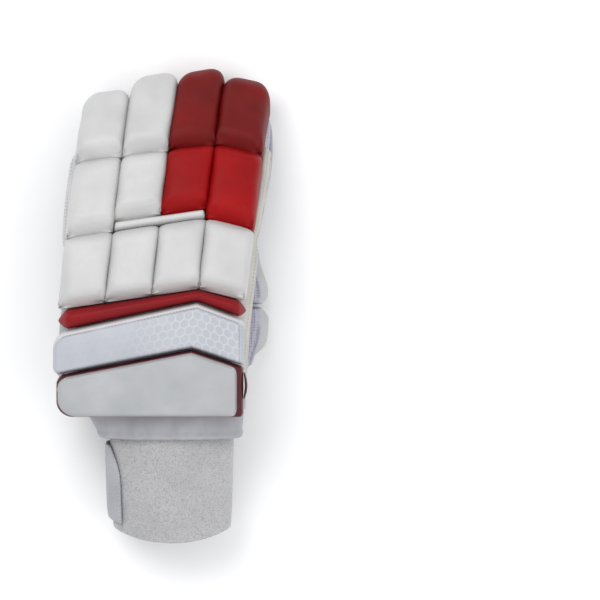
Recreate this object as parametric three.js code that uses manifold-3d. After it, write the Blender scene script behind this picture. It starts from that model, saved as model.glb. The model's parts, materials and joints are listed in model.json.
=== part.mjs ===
// Cricket batting glove for the left hand, lying palm down with its fingers a little curled.
// Millimetres. +Y runs to the fingertips, +X to the thumb side, +Z up from the surface it lies on.
//
// The glove is drawn flat, as across, along and height over the back of the hand, and then curled:
// along is measured on the back of the hand from the rim of the wristband.

import * as THREE from 'three';
import Module from 'manifold-3d';
import { mergeVertices } from 'three/addons/utils/BufferGeometryUtils.js';

const wasm = await Module();
wasm.setup();

// Lengths along the back of the hand, from the rim of the wristband
const bandLength = 64;
const skirtLength = 14;
const cuffPadLength = 40.5;
const crossPadLength = 27.5;
const crossBarLength = 7;
const knuckleRollLength = 40;
const stripLength = 5;
const midRollLength = 39.5;
const tipRollLength = 57;
const webInset = 3;

// Widths across the hand; the shares are of the palm's width from the hand's axis
const fingerPitch = 28;
const rollWidth = 27;
const stallWidth = 25.4;
const stallFlare = 2.5;
const bandWidth = 79;
const rimWidth = 71;
const cuffOverhang = 4;
const flapShare = -0.3;
const heelShare = 0;
const crotchShares = [0.06, 0.4];
const strapShares = { under: 0.31, over: -0.16 };

// Depths of the hollow body and heights of the pads over it
const handDepth = 32;
const stallDepth = 23;
const rimBow = 7;
const rollHeight = 17;
const stripHeight = 12;
const crossBarHeight = 13.5;
const crossPadHeight = 11.5;
const cuffGussetHeight = 8.5;
const cuffFaceHeight = 6.5;
const padSkirt = 2.5;
const capDrop = 12;
const capLength = 8;

// Walls and small parts
const leather = 1.8;
const towelling = 3.5;
const bandTuck = 9;
const bandShare = 0.105;
const bandTaper = 0.6;
const bandNarrows = [0.12, 0.88];
const strapThickness = 2.6;
const strapWidth = 50;
const trimThickness = 1.4;
const tipBandThickness = 2;
const tipBandReach = 5.4;
const tabLength = 11;
const stallTuck = 8;
const patchInset = 3;
const meshInset = 4;
const patchThickness = 0.7;
const meshThickness = 1.0;
const flapThickness = 4;
const sideStripHeight = 9;
const sideStripPast = 12;
const seamHeight = 11;

// Thumb
const thumbLength = 114;
const thumbWidth = 29;
const thumbDepth = 20.5;
const thumbPadThickness = 10;
const thumbPadDepth = 29;
const thumbRootAlong = 94;
const thumbOut = 46;
const thumbSeat = 0.3;

// Where the thumb's own parts lie, as shares of thumbLength
const thumbSeam = 0.36;
const lowerPadSpan = [0.1, 0.44];
const upperPadSpan = [0.45, 0.97];
const meshSpan = [0.45, 0.92];

// Clearances: fit keeps touching pieces apart, seam is the width of a cut between two of them
const fit = 0.4;
const seam = 0.3;
const rowGap = 0.6;
const settle = 1.0;

// How far cutting blocks reach past what they cut
const beyond = 20;
const reach = 60;
const blockStep = 10;

// How the glove curls, in degrees and millimetres
const wristSlope = 10;
const lean = 0.114;
const archCentre = 20;
const archPalm = 0.0011;
const archTips = 0.0024;
const chevronUlnar = 0.147;
const chevronRadial = 0.25;
const ulnarAxis = 0.5;
const radialAxis = 0.3;

// Rows along the back, at the line between the middle and the index finger
const cuffRow = bandLength + skirtLength;
const crossPadRow = cuffRow + cuffPadLength + rowGap;
const crossBarRow = crossPadRow + crossPadLength + rowGap;
const knuckleRow = crossBarRow + crossBarLength + rowGap;
const stripRow = knuckleRow + knuckleRollLength + rowGap;
const midRow = stripRow;
const tipRow = midRow + stripLength + midRollLength + rowGap;
const webRow = stripRow - webInset;
const gloveLength = tipRow + tipRollLength;

const palmWidth = 4 * fingerPitch;
const bends = [
  { name: 'wrist', at: cuffRow - 8, turn: -8, spread: 26 },
  { name: 'palm', at: knuckleRow - 6, turn: -8, spread: 56 },
  { name: 'knuckles', at: stripRow, turn: -14, spread: 26 },
  { name: 'middle joints', at: tipRow, turn: -14, spread: 24 },
];

// column counts fingers from the index, strip is 1 where the knuckle strip lies below the mid roll,
// flare is the side to which the two outer stalls stand out from under their rolls
const fingers = [
  { name: 'index', column: 0, tip: 0.93, strip: 0, flare: 1, colour: 'red' },
  { name: 'middle', column: 1, tip: 1.0, strip: 1, flare: 0, colour: 'red' },
  { name: 'ring', column: 2, tip: 1.02, strip: 1, flare: 0, colour: 'white' },
  { name: 'little', column: 3, tip: 0.9, strip: 0, flare: -1, colour: 'white' },
];

// Sections of the hand: along is a share of the way from the skirt's hem to the finger webs, ulnar
// and radial are shares of the palm's width from the hand's axis, depth is a share of handDepth
const handSections = [
  { along: 0.0, ulnar: 0.235, radial: 0.505, depth: 1.3 },
  { along: 0.11, ulnar: 0.3, radial: 0.512, depth: 1.28 },
  { along: 0.22, ulnar: 0.42, radial: 0.508, depth: 1.2 },
  { along: 0.36, ulnar: 0.475, radial: 0.51, depth: 1.08 },
  { along: 0.55, ulnar: 0.487, radial: 0.515, depth: 0.98 },
  { along: 0.75, ulnar: 0.48, radial: 0.53, depth: 0.92 },
  { along: 0.95, ulnar: 0.465, radial: 0.545, depth: 0.85 },
  { along: 1.0, ulnar: 0.45, radial: 0.535, depth: 0.75 },
];

// Rows of a roll: along, width and height are shares of its length, width and height
const rollSections = [
  { along: 0.0, width: 0.86, height: 0.3 },
  { along: 0.05, width: 0.93, height: 0.62 },
  { along: 0.17, width: 0.98, height: 0.92 },
  { along: 0.35, width: 1.0, height: 1.0 },
  { along: 0.72, width: 1.0, height: 0.99 },
  { along: 0.91, width: 0.98, height: 0.93 },
  { along: 1.0, width: 0.93, height: 0.72 },
];
// drop is the share of capDrop that the cap reaches down over the fingertip
const tipSections = [
  { along: 0.0, width: 0.88, height: 0.32, drop: 0.2 },
  { along: 0.05, width: 0.94, height: 0.65, drop: 0.2 },
  { along: 0.16, width: 0.98, height: 0.93, drop: 0.2 },
  { along: 0.35, width: 1.0, height: 1.0, drop: 0.2 },
  { along: 0.6, width: 1.0, height: 0.97, drop: 0.25 },
  { along: 0.76, width: 0.98, height: 0.9, drop: 0.55 },
  { along: 0.87, width: 0.9, height: 0.76, drop: 0.85 },
  { along: 0.95, width: 0.73, height: 0.55, drop: 1.0 },
  { along: 1.0, width: 0.44, height: 0.24, drop: 0.98 },
];
// Rows of a finger stall towards its rounded end
const stallSections = [
  { along: 0.0, width: 0.94, depth: 0.9 },
  { along: 0.14, width: 1.0, depth: 1.0 },
  { along: 0.38, width: 1.0, depth: 0.99 },
  { along: 0.62, width: 0.99, depth: 0.97 },
  { along: 0.87, width: 0.94, depth: 0.9 },
  { along: 0.96, width: 0.78, depth: 0.72 },
  { along: 1.0, width: 0.5, depth: 0.45 },
];
// Rows of a pad that lies across the hand, from its ulnar to its radial end
const crossSections = [
  { across: 0.0, span: 0.5, height: 0.35 },
  { across: 0.02, span: 0.8, height: 0.72 },
  { across: 0.07, span: 0.97, height: 0.95 },
  { across: 0.2, span: 1.0, height: 1.0 },
  { across: 0.36, span: 1.0, height: 1.0 },
  { across: 0.52, span: 1.0, height: 1.0 },
  { across: 0.68, span: 1.0, height: 1.0 },
  { across: 0.755, span: 1.0, height: 1.0 },
  { across: 0.86, span: 1.0, height: 1.0 },
  { across: 0.96, span: 0.98, height: 0.96 },
  { across: 1.0, span: 0.86, height: 0.7 },
];
// Thumb: along is a share of thumbLength, out a share of thumbOut, lift how far it rises from the
// surface towards the palm, as a share of thumbDepth
const thumbSections = [
  { along: 0.0, out: 0.8, lift: 0.95, width: 1.1, depth: 0.9 },
  { along: 0.14, out: 0.92, lift: 0.6, width: 1.12, depth: 1.1 },
  { along: 0.27, out: 0.98, lift: 0.2, width: 1.06, depth: 1.08 },
  { along: 0.38, out: 1.0, lift: 0.0, width: 1.0, depth: 1.0 },
  { along: 0.72, out: 0.97, lift: 0.0, width: 0.97, depth: 0.98 },
  { along: 0.9, out: 0.92, lift: 0.0, width: 0.9, depth: 0.92 },
  { along: 0.97, out: 0.89, lift: 0.0, width: 0.72, depth: 0.76 },
  { along: 1.0, out: 0.88, lift: 0.0, width: 0.42, depth: 0.45 },
];

// Rows of a thumb pad, from the wrist end to the tip end
const thumbPadSections = [
  { along: 0.0, depth: 0.8, height: 0.3 },
  { along: 0.07, depth: 0.92, height: 0.78 },
  { along: 0.22, depth: 1.0, height: 1.0 },
  { along: 0.75, depth: 1.0, height: 1.0 },
  { along: 0.93, depth: 0.92, height: 0.75 },
  { along: 1.0, depth: 0.78, height: 0.3 },
];

const squareness = 2.7;
const handSquareness = 3.2;
const bandSquareness = 2.5;
const barSquareness = 1.7;
const cuffSquareness = 5;
const bodySides = 14;
const stallSides = 8;
const padSides = 8;

const whiteLeather = { color: 0xdcdee0, roughness: 0.45 };
const darkRed = { color: 0x73141a, roughness: 0.4 };
const brightRed = { color: 0x9a0a16, roughness: 0.4 };
const barRed = { color: 0x91141e, roughness: 0.45 };
const burgundy = { color: 0x4f0d1e, roughness: 0.5 };
const hexWhite = { color: 0xcdd2de, roughness: 0.4 };
const palmGrey = { color: 0xafbcc4, roughness: 0.7 };
const towelWhite = { color: 0xcdcdd0, roughness: 1.0 };
const strapWhite = { color: 0xdcdce4, roughness: 0.5 };
const meshLavender = { color: 0xc8c4d2, roughness: 0.8 };
const stripTan = { color: 0xbeb9aa, roughness: 0.7 };

// Curling the flat drawing

const radians = THREE.MathUtils.degToRad;

function slopeAt(along) {
  let slope = wristSlope;
  for (const bend of bends) {
    const from = bend.at - bend.spread / 2;
    slope += bend.turn * THREE.MathUtils.smoothstep(along, from, from + bend.spread);
  }
  return radians(slope);
}

const profile = [{ y: 0, z: 0 }];
for (let along = 0; along < gloveLength; along += 1) {
  const last = profile[profile.length - 1];
  const slope = slopeAt(along + 0.5);
  profile.push({ y: last.y + Math.cos(slope), z: last.z + Math.sin(slope) });
}

function profileAt(along) {
  const row = THREE.MathUtils.clamp(Math.floor(along), 0, profile.length - 2);
  const part = along - row;
  const from = profile[row];
  const to = profile[row + 1];
  return { y: from.y + part * (to.y - from.y), z: from.z + part * (to.z - from.z) };
}

// The rows step back from the line between the middle and the index finger to both sides
const peakX = (along) => fingerPitch + lean * (along - knuckleRow);
const chevron = (across) => (across < 0 ? chevronUlnar * across : -chevronRadial * across);

function curl(x, along, height) {
  const full = THREE.MathUtils.smoothstep(along, cuffRow, knuckleRow);
  const shift = chevron(x - peakX(along)) * full;
  const row = along - shift;
  const { y, z } = profileAt(row);
  const slope = slopeAt(row);
  const towardsTips = THREE.MathUtils.smoothstep(row, knuckleRow, gloveLength);
  const arch = THREE.MathUtils.lerp(archPalm, archTips, towardsTips) * (x - archCentre) ** 2;
  return new THREE.Vector3(
    x,
    y + shift * Math.cos(slope) - height * Math.sin(slope),
    z + shift * Math.sin(slope) + height * Math.cos(slope) - arch,
  );
}

const onRow = (across, row, height, steep = 1) =>
  curl(across + peakX(row), row + steep * chevron(across), height);

// Solids

function solid(geometry) {
  geometry.deleteAttribute('normal');
  geometry.deleteAttribute('uv');
  const merged = mergeVertices(geometry, 1e-4);
  return new wasm.Manifold(new wasm.Mesh({
    numProp: 3,
    vertProperties: Float32Array.from(merged.attributes.position.array),
    triVerts: Uint32Array.from(merged.index.array),
  }));
}

// A closed skin over rings of equally many points, with its faces pointing out
function loft(rings) {
  const count = rings[0].length;
  const points = rings.flat();
  const faces = [];
  for (let row = 0; row + 1 < rings.length; row += 1) {
    for (let side = 0; side < count; side += 1) {
      const a = row * count + side;
      const b = row * count + ((side + 1) % count);
      faces.push([a, b, b + count], [a, b + count, a + count]);
    }
  }
  for (const end of [0, rings.length - 1]) {
    const middle = new THREE.Vector3();
    rings[end].forEach((point) => middle.addScaledVector(point, 1 / count));
    points.push(middle);
    for (let side = 0; side < count; side += 1) {
      const pair = [end * count + side, end * count + ((side + 1) % count)];
      faces.push(end === 0 ? [pair[1], pair[0], points.length - 1] : [...pair, points.length - 1]);
    }
  }
  let volume = 0;
  for (const [a, b, c] of faces) {
    volume += points[a].dot(new THREE.Vector3().crossVectors(points[b], points[c]));
  }
  const ordered = volume < 0 ? faces.map(([a, b, c]) => [a, c, b]) : faces;
  const geometry = new THREE.BufferGeometry().setFromPoints(points);
  geometry.setIndex(ordered.flat());
  return solid(geometry);
}

const union = (solids) => solids.reduce((sum, one) => sum.add(one));
const larger = (one, other) => (one.volume() > other.volume() ? one : other);
const largest = (cut) => cut.decompose().reduce(larger);

// A rounded box section: each point's share of the half width and half height
const rounded = (sides, power = squareness) =>
  Array.from({ length: sides }, (_, side) => {
    const angle = (2 * Math.PI * (side + 0.5)) / sides;
    const c = Math.cos(angle);
    const s = Math.sin(angle);
    return {
      wide: Math.sign(c) * Math.abs(c) ** (2 / power),
      high: Math.sign(s) * Math.abs(s) ** (2 / power),
    };
  });

// A domed section over a flat underside, wide from -1 to 1 and high from 0 to 1
const domed = (sides, power = squareness) => {
  const points = [{ wide: -0.97, high: -1 }, { wide: 0.97, high: -1 }];
  for (let side = 0; side <= sides; side += 1) {
    const angle = (Math.PI * side) / sides;
    points.push({
      wide: Math.sign(Math.cos(angle)) * Math.abs(Math.cos(angle)) ** (2 / power),
      high: Math.sin(angle) ** (2 / power),
    });
  }
  return points;
};

// A block of the curled space, used to cut and to choose
function block({ left, right, from, to, low, high, strips = 1 }, put = onRow) {
  const steps = Math.max(2, Math.ceil((to - from) / blockStep));
  const shares = Array.from({ length: strips + 1 }, (_, strip) => strip / strips);
  const rings = [];
  for (let step = 0; step <= steps; step += 1) {
    const row = from + ((to - from) * step) / steps;
    const under = shares.map((share) => put(left + share * (right - left), row, low));
    const over = shares.map((share) => put(right + share * (left - right), row, high));
    rings.push([...under, ...over]);
  }
  return loft(rings);
}

// The hollow body, with every surface moved out by grow

function hand(grow) {
  const length = webRow - bandLength;
  const rings = handSections.map((section, index) => {
    const first = index === 0 && grow < 0;
    const last = index === handSections.length - 1;
    const past = (first ? -patchInset : 0) + (last ? 2 * grow : 0);
    const along = bandLength + section.along * length + past;
    const axis = lean * (along - knuckleRow);
    const left = axis * ulnarAxis - section.ulnar * palmWidth - grow;
    const right = axis * radialAxis + section.radial * palmWidth + grow;
    const depth = section.depth * handDepth;
    return rounded(bodySides, handSquareness).map(({ wide, high }) => {
      const x = (left + right) / 2 + (wide * (right - left)) / 2;
      const step = chevron(x - peakX(along)) * section.along ** 2;
      return curl(x, along + step, -depth / 2 + high * (depth / 2 + grow));
    });
  });
  return loft(rings);
}

function stall(finger, grow) {
  const middle = -(finger.column - 0.5) * fingerPitch + finger.flare * stallFlare;
  const start = webRow - stallTuck;
  const length = tipRow + finger.tip * tipRollLength - capLength - start;
  const rings = stallSections.map((section, index) => {
    const last = index === stallSections.length - 1;
    const row = start + section.along * length + (last ? grow : 0) - (index === 0 ? grow : 0);
    return rounded(stallSides).map(({ wide, high }) => {
      const across = middle + wide * ((section.width * stallWidth) / 2 + grow);
      const depth = section.depth * stallDepth;
      return onRow(across, row, -stallDepth / 2 + high * (depth / 2 + grow));
    });
  });
  return loft(rings);
}

// The fingertips rest on the surface, which settles them by a little
const tipSkin = fit + tipBandThickness;
const lowest = Math.min(...fingers.map((finger) => stall(finger, tipSkin).boundingBox().min[2]));
const floor = lowest + settle;

const thumbRoot = curl(0, thumbRootAlong, 0).y;
const thumbBottom = floor + fit;
const thumbTop = thumbBottom + thumbDepth;

function thumb(grow) {
  const rings = thumbSections.map((section, index) => {
    const end = index === thumbSections.length - 1 ? grow : 0;
    const middle = thumbBottom + (0.5 + section.lift) * thumbDepth;
    return rounded(stallSides).map(({ wide, high }) => new THREE.Vector3(
      section.out * thumbOut + wide * ((section.width * thumbWidth) / 2 + grow),
      thumbRoot + section.along * thumbLength + end,
      middle + high * ((section.depth * thumbDepth) / 2 + grow),
    ));
  });
  return loft(rings);
}

const body = (grow) => union([hand(grow), thumb(grow), ...fingers.map((one) => stall(one, grow))]);

const outside = body(0);
const seat = body(fit);
const shell = outside.subtract(body(-leather));
const layer = (thickness) => body(fit + thickness).subtract(seat);

// The wristband, a flattened towelling tube that tucks into the wrist skirt and rests on its rim

const bandShares = [0, 0.3, 0.62, 1];
const bandMiddle = bandShare * palmWidth;
const hemDepth = handSections[0].depth * handDepth - 2 * (leather + 4 * fit);

function band(grow, open = 0) {
  const end = bandLength + bandTuck;
  const rows = bandShares.map((share) => ({ share, past: 0 }));
  if (open > 0) {
    rows.unshift({ share: 0, past: -open });
    rows.push({ share: 1, past: open });
  }
  const rings = rows.map(({ share, past }) => {
    const along = share * end;
    const width = THREE.MathUtils.lerp(rimWidth, bandWidth - 2 * leather, share ** bandTaper);
    const top = -leather - 3 * fit;
    const back = curl(bandMiddle, along, top).z - floor + settle - strapThickness - fit;
    const rimDepth = back / Math.cos(slopeAt(along));
    const narrowing = THREE.MathUtils.smoothstep(share, ...bandNarrows);
    const depth = THREE.MathUtils.lerp(rimDepth, hemDepth, narrowing);
    return rounded(bodySides, bandSquareness).map(({ wide, high }) => {
      const x = bandMiddle + wide * (width / 2 + grow);
      const bow = rimBow * (1 - share) * wide ** 2;
      return curl(x, along + bow + past, top - depth / 2 + high * (depth / 2 + grow));
    });
  });
  return loft(rings);
}

// Pads

function roll(finger, from, length, sections, height) {
  const middle = -(finger.column - 0.5) * fingerPitch;
  const rings = sections.map((section) => {
    const row = from + section.along * length;
    const under = section.drop === undefined ? padSkirt : section.drop * capDrop;
    return domed(padSides).map(({ wide, high }) => {
      const across = middle + (wide * section.width * rollWidth) / 2;
      return onRow(across, row, high < 0 ? -under : high * section.height * height);
    });
  });
  return largest(loft(rings).subtract(seat));
}

// A pad across the hand, between two rows whose chevrons have their own steepness
function crossPiece({ low, high, base = -padSkirt, top, left, right, power = squareness }) {
  const rings = crossSections.map((section) => {
    const x = left + section.across * (right - left);
    const from = low.row + low.steep * chevron(x - peakX(low.row));
    const to = high.row + high.steep * chevron(x - peakX(high.row));
    return domed(padSides, power).map(({ wide, high: up }) => {
      const along = (from + to) / 2 + (wide * section.span * (to - from)) / 2;
      const height = up < 0 ? base : base + (top - base) * (up * section.height);
      return curl(x, along, height);
    });
  });
  return largest(loft(rings).subtract(seat));
}

const pieces = [];
const add = (name, shape, finish) => pieces.push({ name, shape, finish });

// Leather and mesh parts cut from the hollow body

const ulnarEdge = -3 * fingerPitch;
const radialEdge = fingerPitch;

function column(finger, from) {
  const middle = -(finger.column - 0.5) * fingerPitch;
  const left = middle - fingerPitch * (finger.flare < 0 ? 1 : 0.5);
  const right = middle + fingerPitch * (finger.flare > 0 ? 1 : 0.5);
  const low = -stallDepth - 4 * trimThickness;
  return block({ left, right, from, to: gloveLength + beyond, low, high: rollHeight });
}

function box(from, to) {
  const size = new THREE.Vector3().subVectors(to, from);
  const geometry = new THREE.BoxGeometry(size.x, size.y, size.z);
  geometry.translate((from.x + to.x) / 2, (from.y + to.y) / 2, (from.z + to.z) / 2);
  return solid(geometry);
}

const thumbSpace = (from, to, top = thumbTop + 2 * fit) => box(
  new THREE.Vector3(0, thumbRoot + from * thumbLength, floor - reach),
  new THREE.Vector3(2 * reach, thumbRoot + to * thumbLength, top),
);
const fingerSpace = union(fingers.map((finger) => column(finger, webRow - seam)));
const wide = {
  left: -palmWidth, right: palmWidth, from: bandLength - beyond, to: webRow + 2 * beyond,
};
const overSeam = block({ ...wide, low: -seamHeight, high: reach }, curl);
const underSeam = block({ ...wide, low: -reach, high: -seamHeight - seam }, curl);
const handShell = shell.subtract(fingerSpace);

for (const finger of fingers) {
  const own = column(finger, webRow);
  add(`stall_${finger.name}`, largest(shell.intersect(own)), palmGrey);
  const tipEnd = tipRow + finger.tip * tipRollLength;
  const stallMiddle = -(finger.column - 0.5) * fingerPitch + finger.flare * stallFlare;
  const under = (from, to) => block({
    left: stallMiddle - stallWidth / 2 + tipBandThickness,
    right: stallMiddle + stallWidth / 2 - tipBandThickness,
    from,
    to,
    low: -stallDepth - beyond,
    high: -capDrop - fit,
  });
  const tabEnd = tipEnd - capLength - tipBandReach;
  const tipBand = layer(tipBandThickness).intersect(under(tabEnd, tabEnd + 2 * beyond));
  const tab = layer(trimThickness).intersect(under(tabEnd - tabLength, tabEnd - seam));
  add(`tip_band_${finger.name}`, largest(tipBand), whiteLeather);
  add(`tip_tab_${finger.name}`, largest(tab), palmGrey);
}
add('back_panel', largest(handShell.intersect(overSeam)), whiteLeather);
const palmSide = handShell.intersect(underSeam);
add('palm_leather', largest(palmSide.subtract(thumbSpace(thumbSeam, 2))), palmGrey);
const stallSpace = thumbSpace(thumbSeam + seam / thumbLength, 2, thumbTop + fit);
add('thumb_stall', largest(palmSide.intersect(stallSpace)), palmGrey);

// Side strips, patches and the cuff flap lie on the leather

const sideBlock = (left, right, from) => block({
  left,
  right,
  from,
  to: tipRow + sideStripPast,
  low: -padSkirt - fit - sideStripHeight,
  high: -padSkirt - fit,
});
const onIndexSide = sideBlock(radialEdge - stallTuck, radialEdge + beyond, cuffRow);
const onLittleSide = sideBlock(ulnarEdge - beyond, ulnarEdge + stallTuck, knuckleRow);
add('side_strip_index', largest(layer(trimThickness).intersect(onIndexSide)), stripTan);
add('side_strip_little', largest(layer(trimThickness).intersect(onLittleSide)), whiteLeather);
const flapSpace = block({
  left: -palmWidth,
  right: flapShare * palmWidth,
  from: cuffRow + rowGap,
  to: crossPadRow,
  low: -reach,
  high: -padSkirt - fit,
}, curl);
add('cuff_flap', largest(layer(flapThickness).intersect(flapSpace)), whiteLeather);

const onPalm = (left, right, from, to) => block({
  left: left * palmWidth + 2 * fit,
  right: right * palmWidth,
  from: from + patchInset,
  to: to - patchInset,
  low: -reach,
  high: -seamHeight - patchInset,
}, curl);
const heelSpace = onPalm(flapShare, heelShare, cuffRow, crossPadRow);
const onPalmOnly = (thickness) => hand(fit + thickness).subtract(seat);
add('heel_patch', largest(onPalmOnly(trimThickness).intersect(heelSpace)), palmGrey);
const crotchSpace = onPalm(...crotchShares, knuckleRow + patchInset, webRow - patchInset);
add('crotch_patch', largest(onPalmOnly(patchThickness).intersect(crotchSpace)), palmGrey);

// The thumb's pads lie on its outer side, and the mesh gusset on its inner side

function outAt(share) {
  const row = Math.max(1, thumbSections.findIndex((section) => section.along >= share));
  const before = thumbSections[row - 1];
  const after = thumbSections[row];
  const part = (share - before.along) / (after.along - before.along);
  return thumbOut * THREE.MathUtils.lerp(before.out, after.out, part);
}

function thumbPad([from, to]) {
  const rings = thumbPadSections.map((section) => {
    const share = from + section.along * (to - from);
    const inner = outAt(share) + thumbWidth * thumbSeat;
    const outer = outAt(share) + thumbWidth / 2 + thumbPadThickness * section.height;
    const half = (section.depth * thumbPadDepth) / 2;
    return rounded(stallSides + 2).map(({ wide, high }) => new THREE.Vector3(
      (inner + outer) / 2 + (wide * (outer - inner)) / 2,
      thumbRoot + share * thumbLength,
      floor - settle + thumbPadDepth / 2 + high * half,
    ));
  });
  return largest(loft(rings).subtract(seat));
}
add('thumb_pad_lower', thumbPad(lowerPadSpan), whiteLeather);
add('thumb_pad_upper', thumbPad(upperPadSpan), whiteLeather);
const [meshFrom, meshTo] = meshSpan.map((share) => thumbRoot + share * thumbLength);
const meshEdge = thumbOut - thumbWidth / 2 + meshInset;
const meshSide = box(
  new THREE.Vector3(0, meshFrom, floor + meshInset),
  new THREE.Vector3(meshEdge, meshTo, thumbTop - meshInset),
);
add('thumb_mesh', largest(layer(meshThickness).intersect(meshSide)), meshLavender);

// The wristband and its strap

const wristband = band(0).subtract(band(-towelling, beyond / 2));
add('wristband', wristband, towelWhite);
const strapStart = (bandLength - strapWidth) / 2;
const strapRows = { from: strapStart, to: strapStart + strapWidth };
const strapBlock = (share, low, high) => block({
  left: -reach, right: share * palmWidth, ...strapRows, low, high,
}, curl);
const strapUnder = strapBlock(strapShares.under, -2 * reach, -stallDepth);
const strapOver = strapBlock(strapShares.over, -stallDepth - seam, beyond);
const strapSkin = band(fit + strapThickness).subtract(band(fit, beyond / 2));
add('wrist_strap', largest(strapSkin.intersect(strapUnder.add(strapOver))), strapWhite);
const cuffTop = { row: crossPadRow - rowGap, steep: 1.33 };
const cuffBottom = { row: cuffRow, steep: 0 };

for (const finger of fingers) {
  const red = finger.colour === 'red';
  const midFrom = midRow + finger.strip * (stripLength + rowGap);
  const midLength = tipRow - rowGap - midFrom;
  const knuckle = roll(finger, knuckleRow, knuckleRollLength, rollSections, rollHeight);
  const mid = roll(finger, midFrom, midLength, rollSections, rollHeight);
  const tip = roll(finger, tipRow, finger.tip * tipRollLength, tipSections, rollHeight);
  add(`knuckle_roll_${finger.name}`, knuckle, whiteLeather);
  add(`mid_roll_${finger.name}`, mid, red ? brightRed : whiteLeather);
  add(`tip_roll_${finger.name}`, tip, red ? darkRed : whiteLeather);
}

add('knuckle_strip', crossPiece({
  low: { row: stripRow, steep: 1 },
  high: { row: stripRow + stripLength, steep: 1 },
  base: -rowGap,
  top: stripHeight,
  left: peakX(stripRow) - 2 * fingerPitch + rowGap,
  right: peakX(stripRow) - rowGap,
}), whiteLeather);
add('cross_bar', crossPiece({
  low: { row: crossBarRow, steep: 1.45 },
  high: { row: knuckleRow - rowGap, steep: 1 },
  top: crossBarHeight,
  left: peakX(crossBarRow) + ulnarEdge - 2,
  right: peakX(crossBarRow) + radialEdge,
  power: barSquareness,
}), barRed);
add('cross_pad', crossPiece({
  low: { row: crossPadRow, steep: 1.33 },
  high: { row: crossBarRow - rowGap, steep: 1.45 },
  top: crossPadHeight,
  left: peakX(crossPadRow) + ulnarEdge,
  right: peakX(crossPadRow) + radialEdge + 2,
}), hexWhite);
const cuffLeft = peakX(cuffRow) + ulnarEdge + cuffOverhang;
const cuffRight = peakX(cuffRow) + radialEdge + cuffOverhang;
const cuffWhole = crossPiece({
  low: cuffBottom,
  high: cuffTop,
  top: cuffGussetHeight + cuffFaceHeight,
  left: cuffLeft,
  right: cuffRight,
  power: cuffSquareness,
});
const cuffCut = (low, high) => block({
  left: cuffLeft - fit,
  right: cuffRight + fit,
  from: cuffRow - blockStep,
  to: crossPadRow + blockStep,
  low,
  high,
  strips: 5,
}, curl);
add('cuff_pad', cuffWhole.intersect(cuffCut(cuffGussetHeight + seam, reach)), whiteLeather);
add('cuff_gusset', largest(cuffWhole.intersect(cuffCut(-beyond, cuffGussetHeight))), burgundy);

// Leather and cloth lie flat where they rest, and the glove stands on the middle of its box

const aboveGround = box(
  new THREE.Vector3(-4 * palmWidth, -gloveLength, floor),
  new THREE.Vector3(4 * palmWidth, 2 * gloveLength, floor + 4 * palmWidth),
);
const group = new THREE.Group();
const extent = new THREE.Box3();
for (const { name, shape, finish } of pieces) {
  const mesh = largest(shape.intersect(aboveGround)).getMesh();
  const geometry = new THREE.BufferGeometry();
  geometry.setAttribute('position', new THREE.BufferAttribute(mesh.vertProperties, 3));
  geometry.setIndex(new THREE.BufferAttribute(mesh.triVerts, 1));
  geometry.computeVertexNormals();
  geometry.computeBoundingBox();
  extent.union(geometry.boundingBox);
  const part = new THREE.Mesh(geometry, new THREE.MeshStandardMaterial({ metalness: 0, ...finish }));
  part.name = name;
  group.add(part);
}
const centre = extent.getCenter(new THREE.Vector3());
group.position.set(-centre.x, -centre.y, -floor);

export default group;
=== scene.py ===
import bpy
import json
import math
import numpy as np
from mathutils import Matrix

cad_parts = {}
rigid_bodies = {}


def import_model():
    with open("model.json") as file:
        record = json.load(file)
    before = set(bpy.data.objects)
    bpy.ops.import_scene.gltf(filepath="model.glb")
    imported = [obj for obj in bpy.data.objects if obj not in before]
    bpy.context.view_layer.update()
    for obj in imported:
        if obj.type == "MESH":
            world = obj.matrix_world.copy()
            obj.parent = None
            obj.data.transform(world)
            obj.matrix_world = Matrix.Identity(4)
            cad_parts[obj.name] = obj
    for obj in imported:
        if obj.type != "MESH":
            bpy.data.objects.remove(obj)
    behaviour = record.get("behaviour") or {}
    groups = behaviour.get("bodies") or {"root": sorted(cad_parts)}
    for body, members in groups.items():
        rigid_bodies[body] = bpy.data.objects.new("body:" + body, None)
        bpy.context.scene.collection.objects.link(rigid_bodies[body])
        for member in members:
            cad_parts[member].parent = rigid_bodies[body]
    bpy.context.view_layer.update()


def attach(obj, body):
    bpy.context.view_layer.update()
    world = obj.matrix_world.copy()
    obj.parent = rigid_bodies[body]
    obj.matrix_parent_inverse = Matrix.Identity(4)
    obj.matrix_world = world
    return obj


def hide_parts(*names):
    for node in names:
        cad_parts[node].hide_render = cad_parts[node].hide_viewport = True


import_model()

# %% [markdown]
# # A cricket batting glove
# The glove lies palm down, so the padded back is what the camera sees first. Its finger rolls, cross
# pads and cuff are leather over foam, its palm is one thin skin, and its cuff ends in towelling.
# Everything is drawn in the same flat pattern (across, along, height) and then curled over the hand,
# which keeps neighbouring pieces in step with each other.

MM = 0.001

# %% [markdown]
# A glove is sewn flat and then closes a little, as a resting hand does. The curl of its back is a path
# that turns down at the wrist, the palm, the knuckles and the middle joints. It could be made by
# bending a finished flat glove with modifiers. Mapping each point is simpler here, because every
# piece then knows its own row on the hand.

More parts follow.
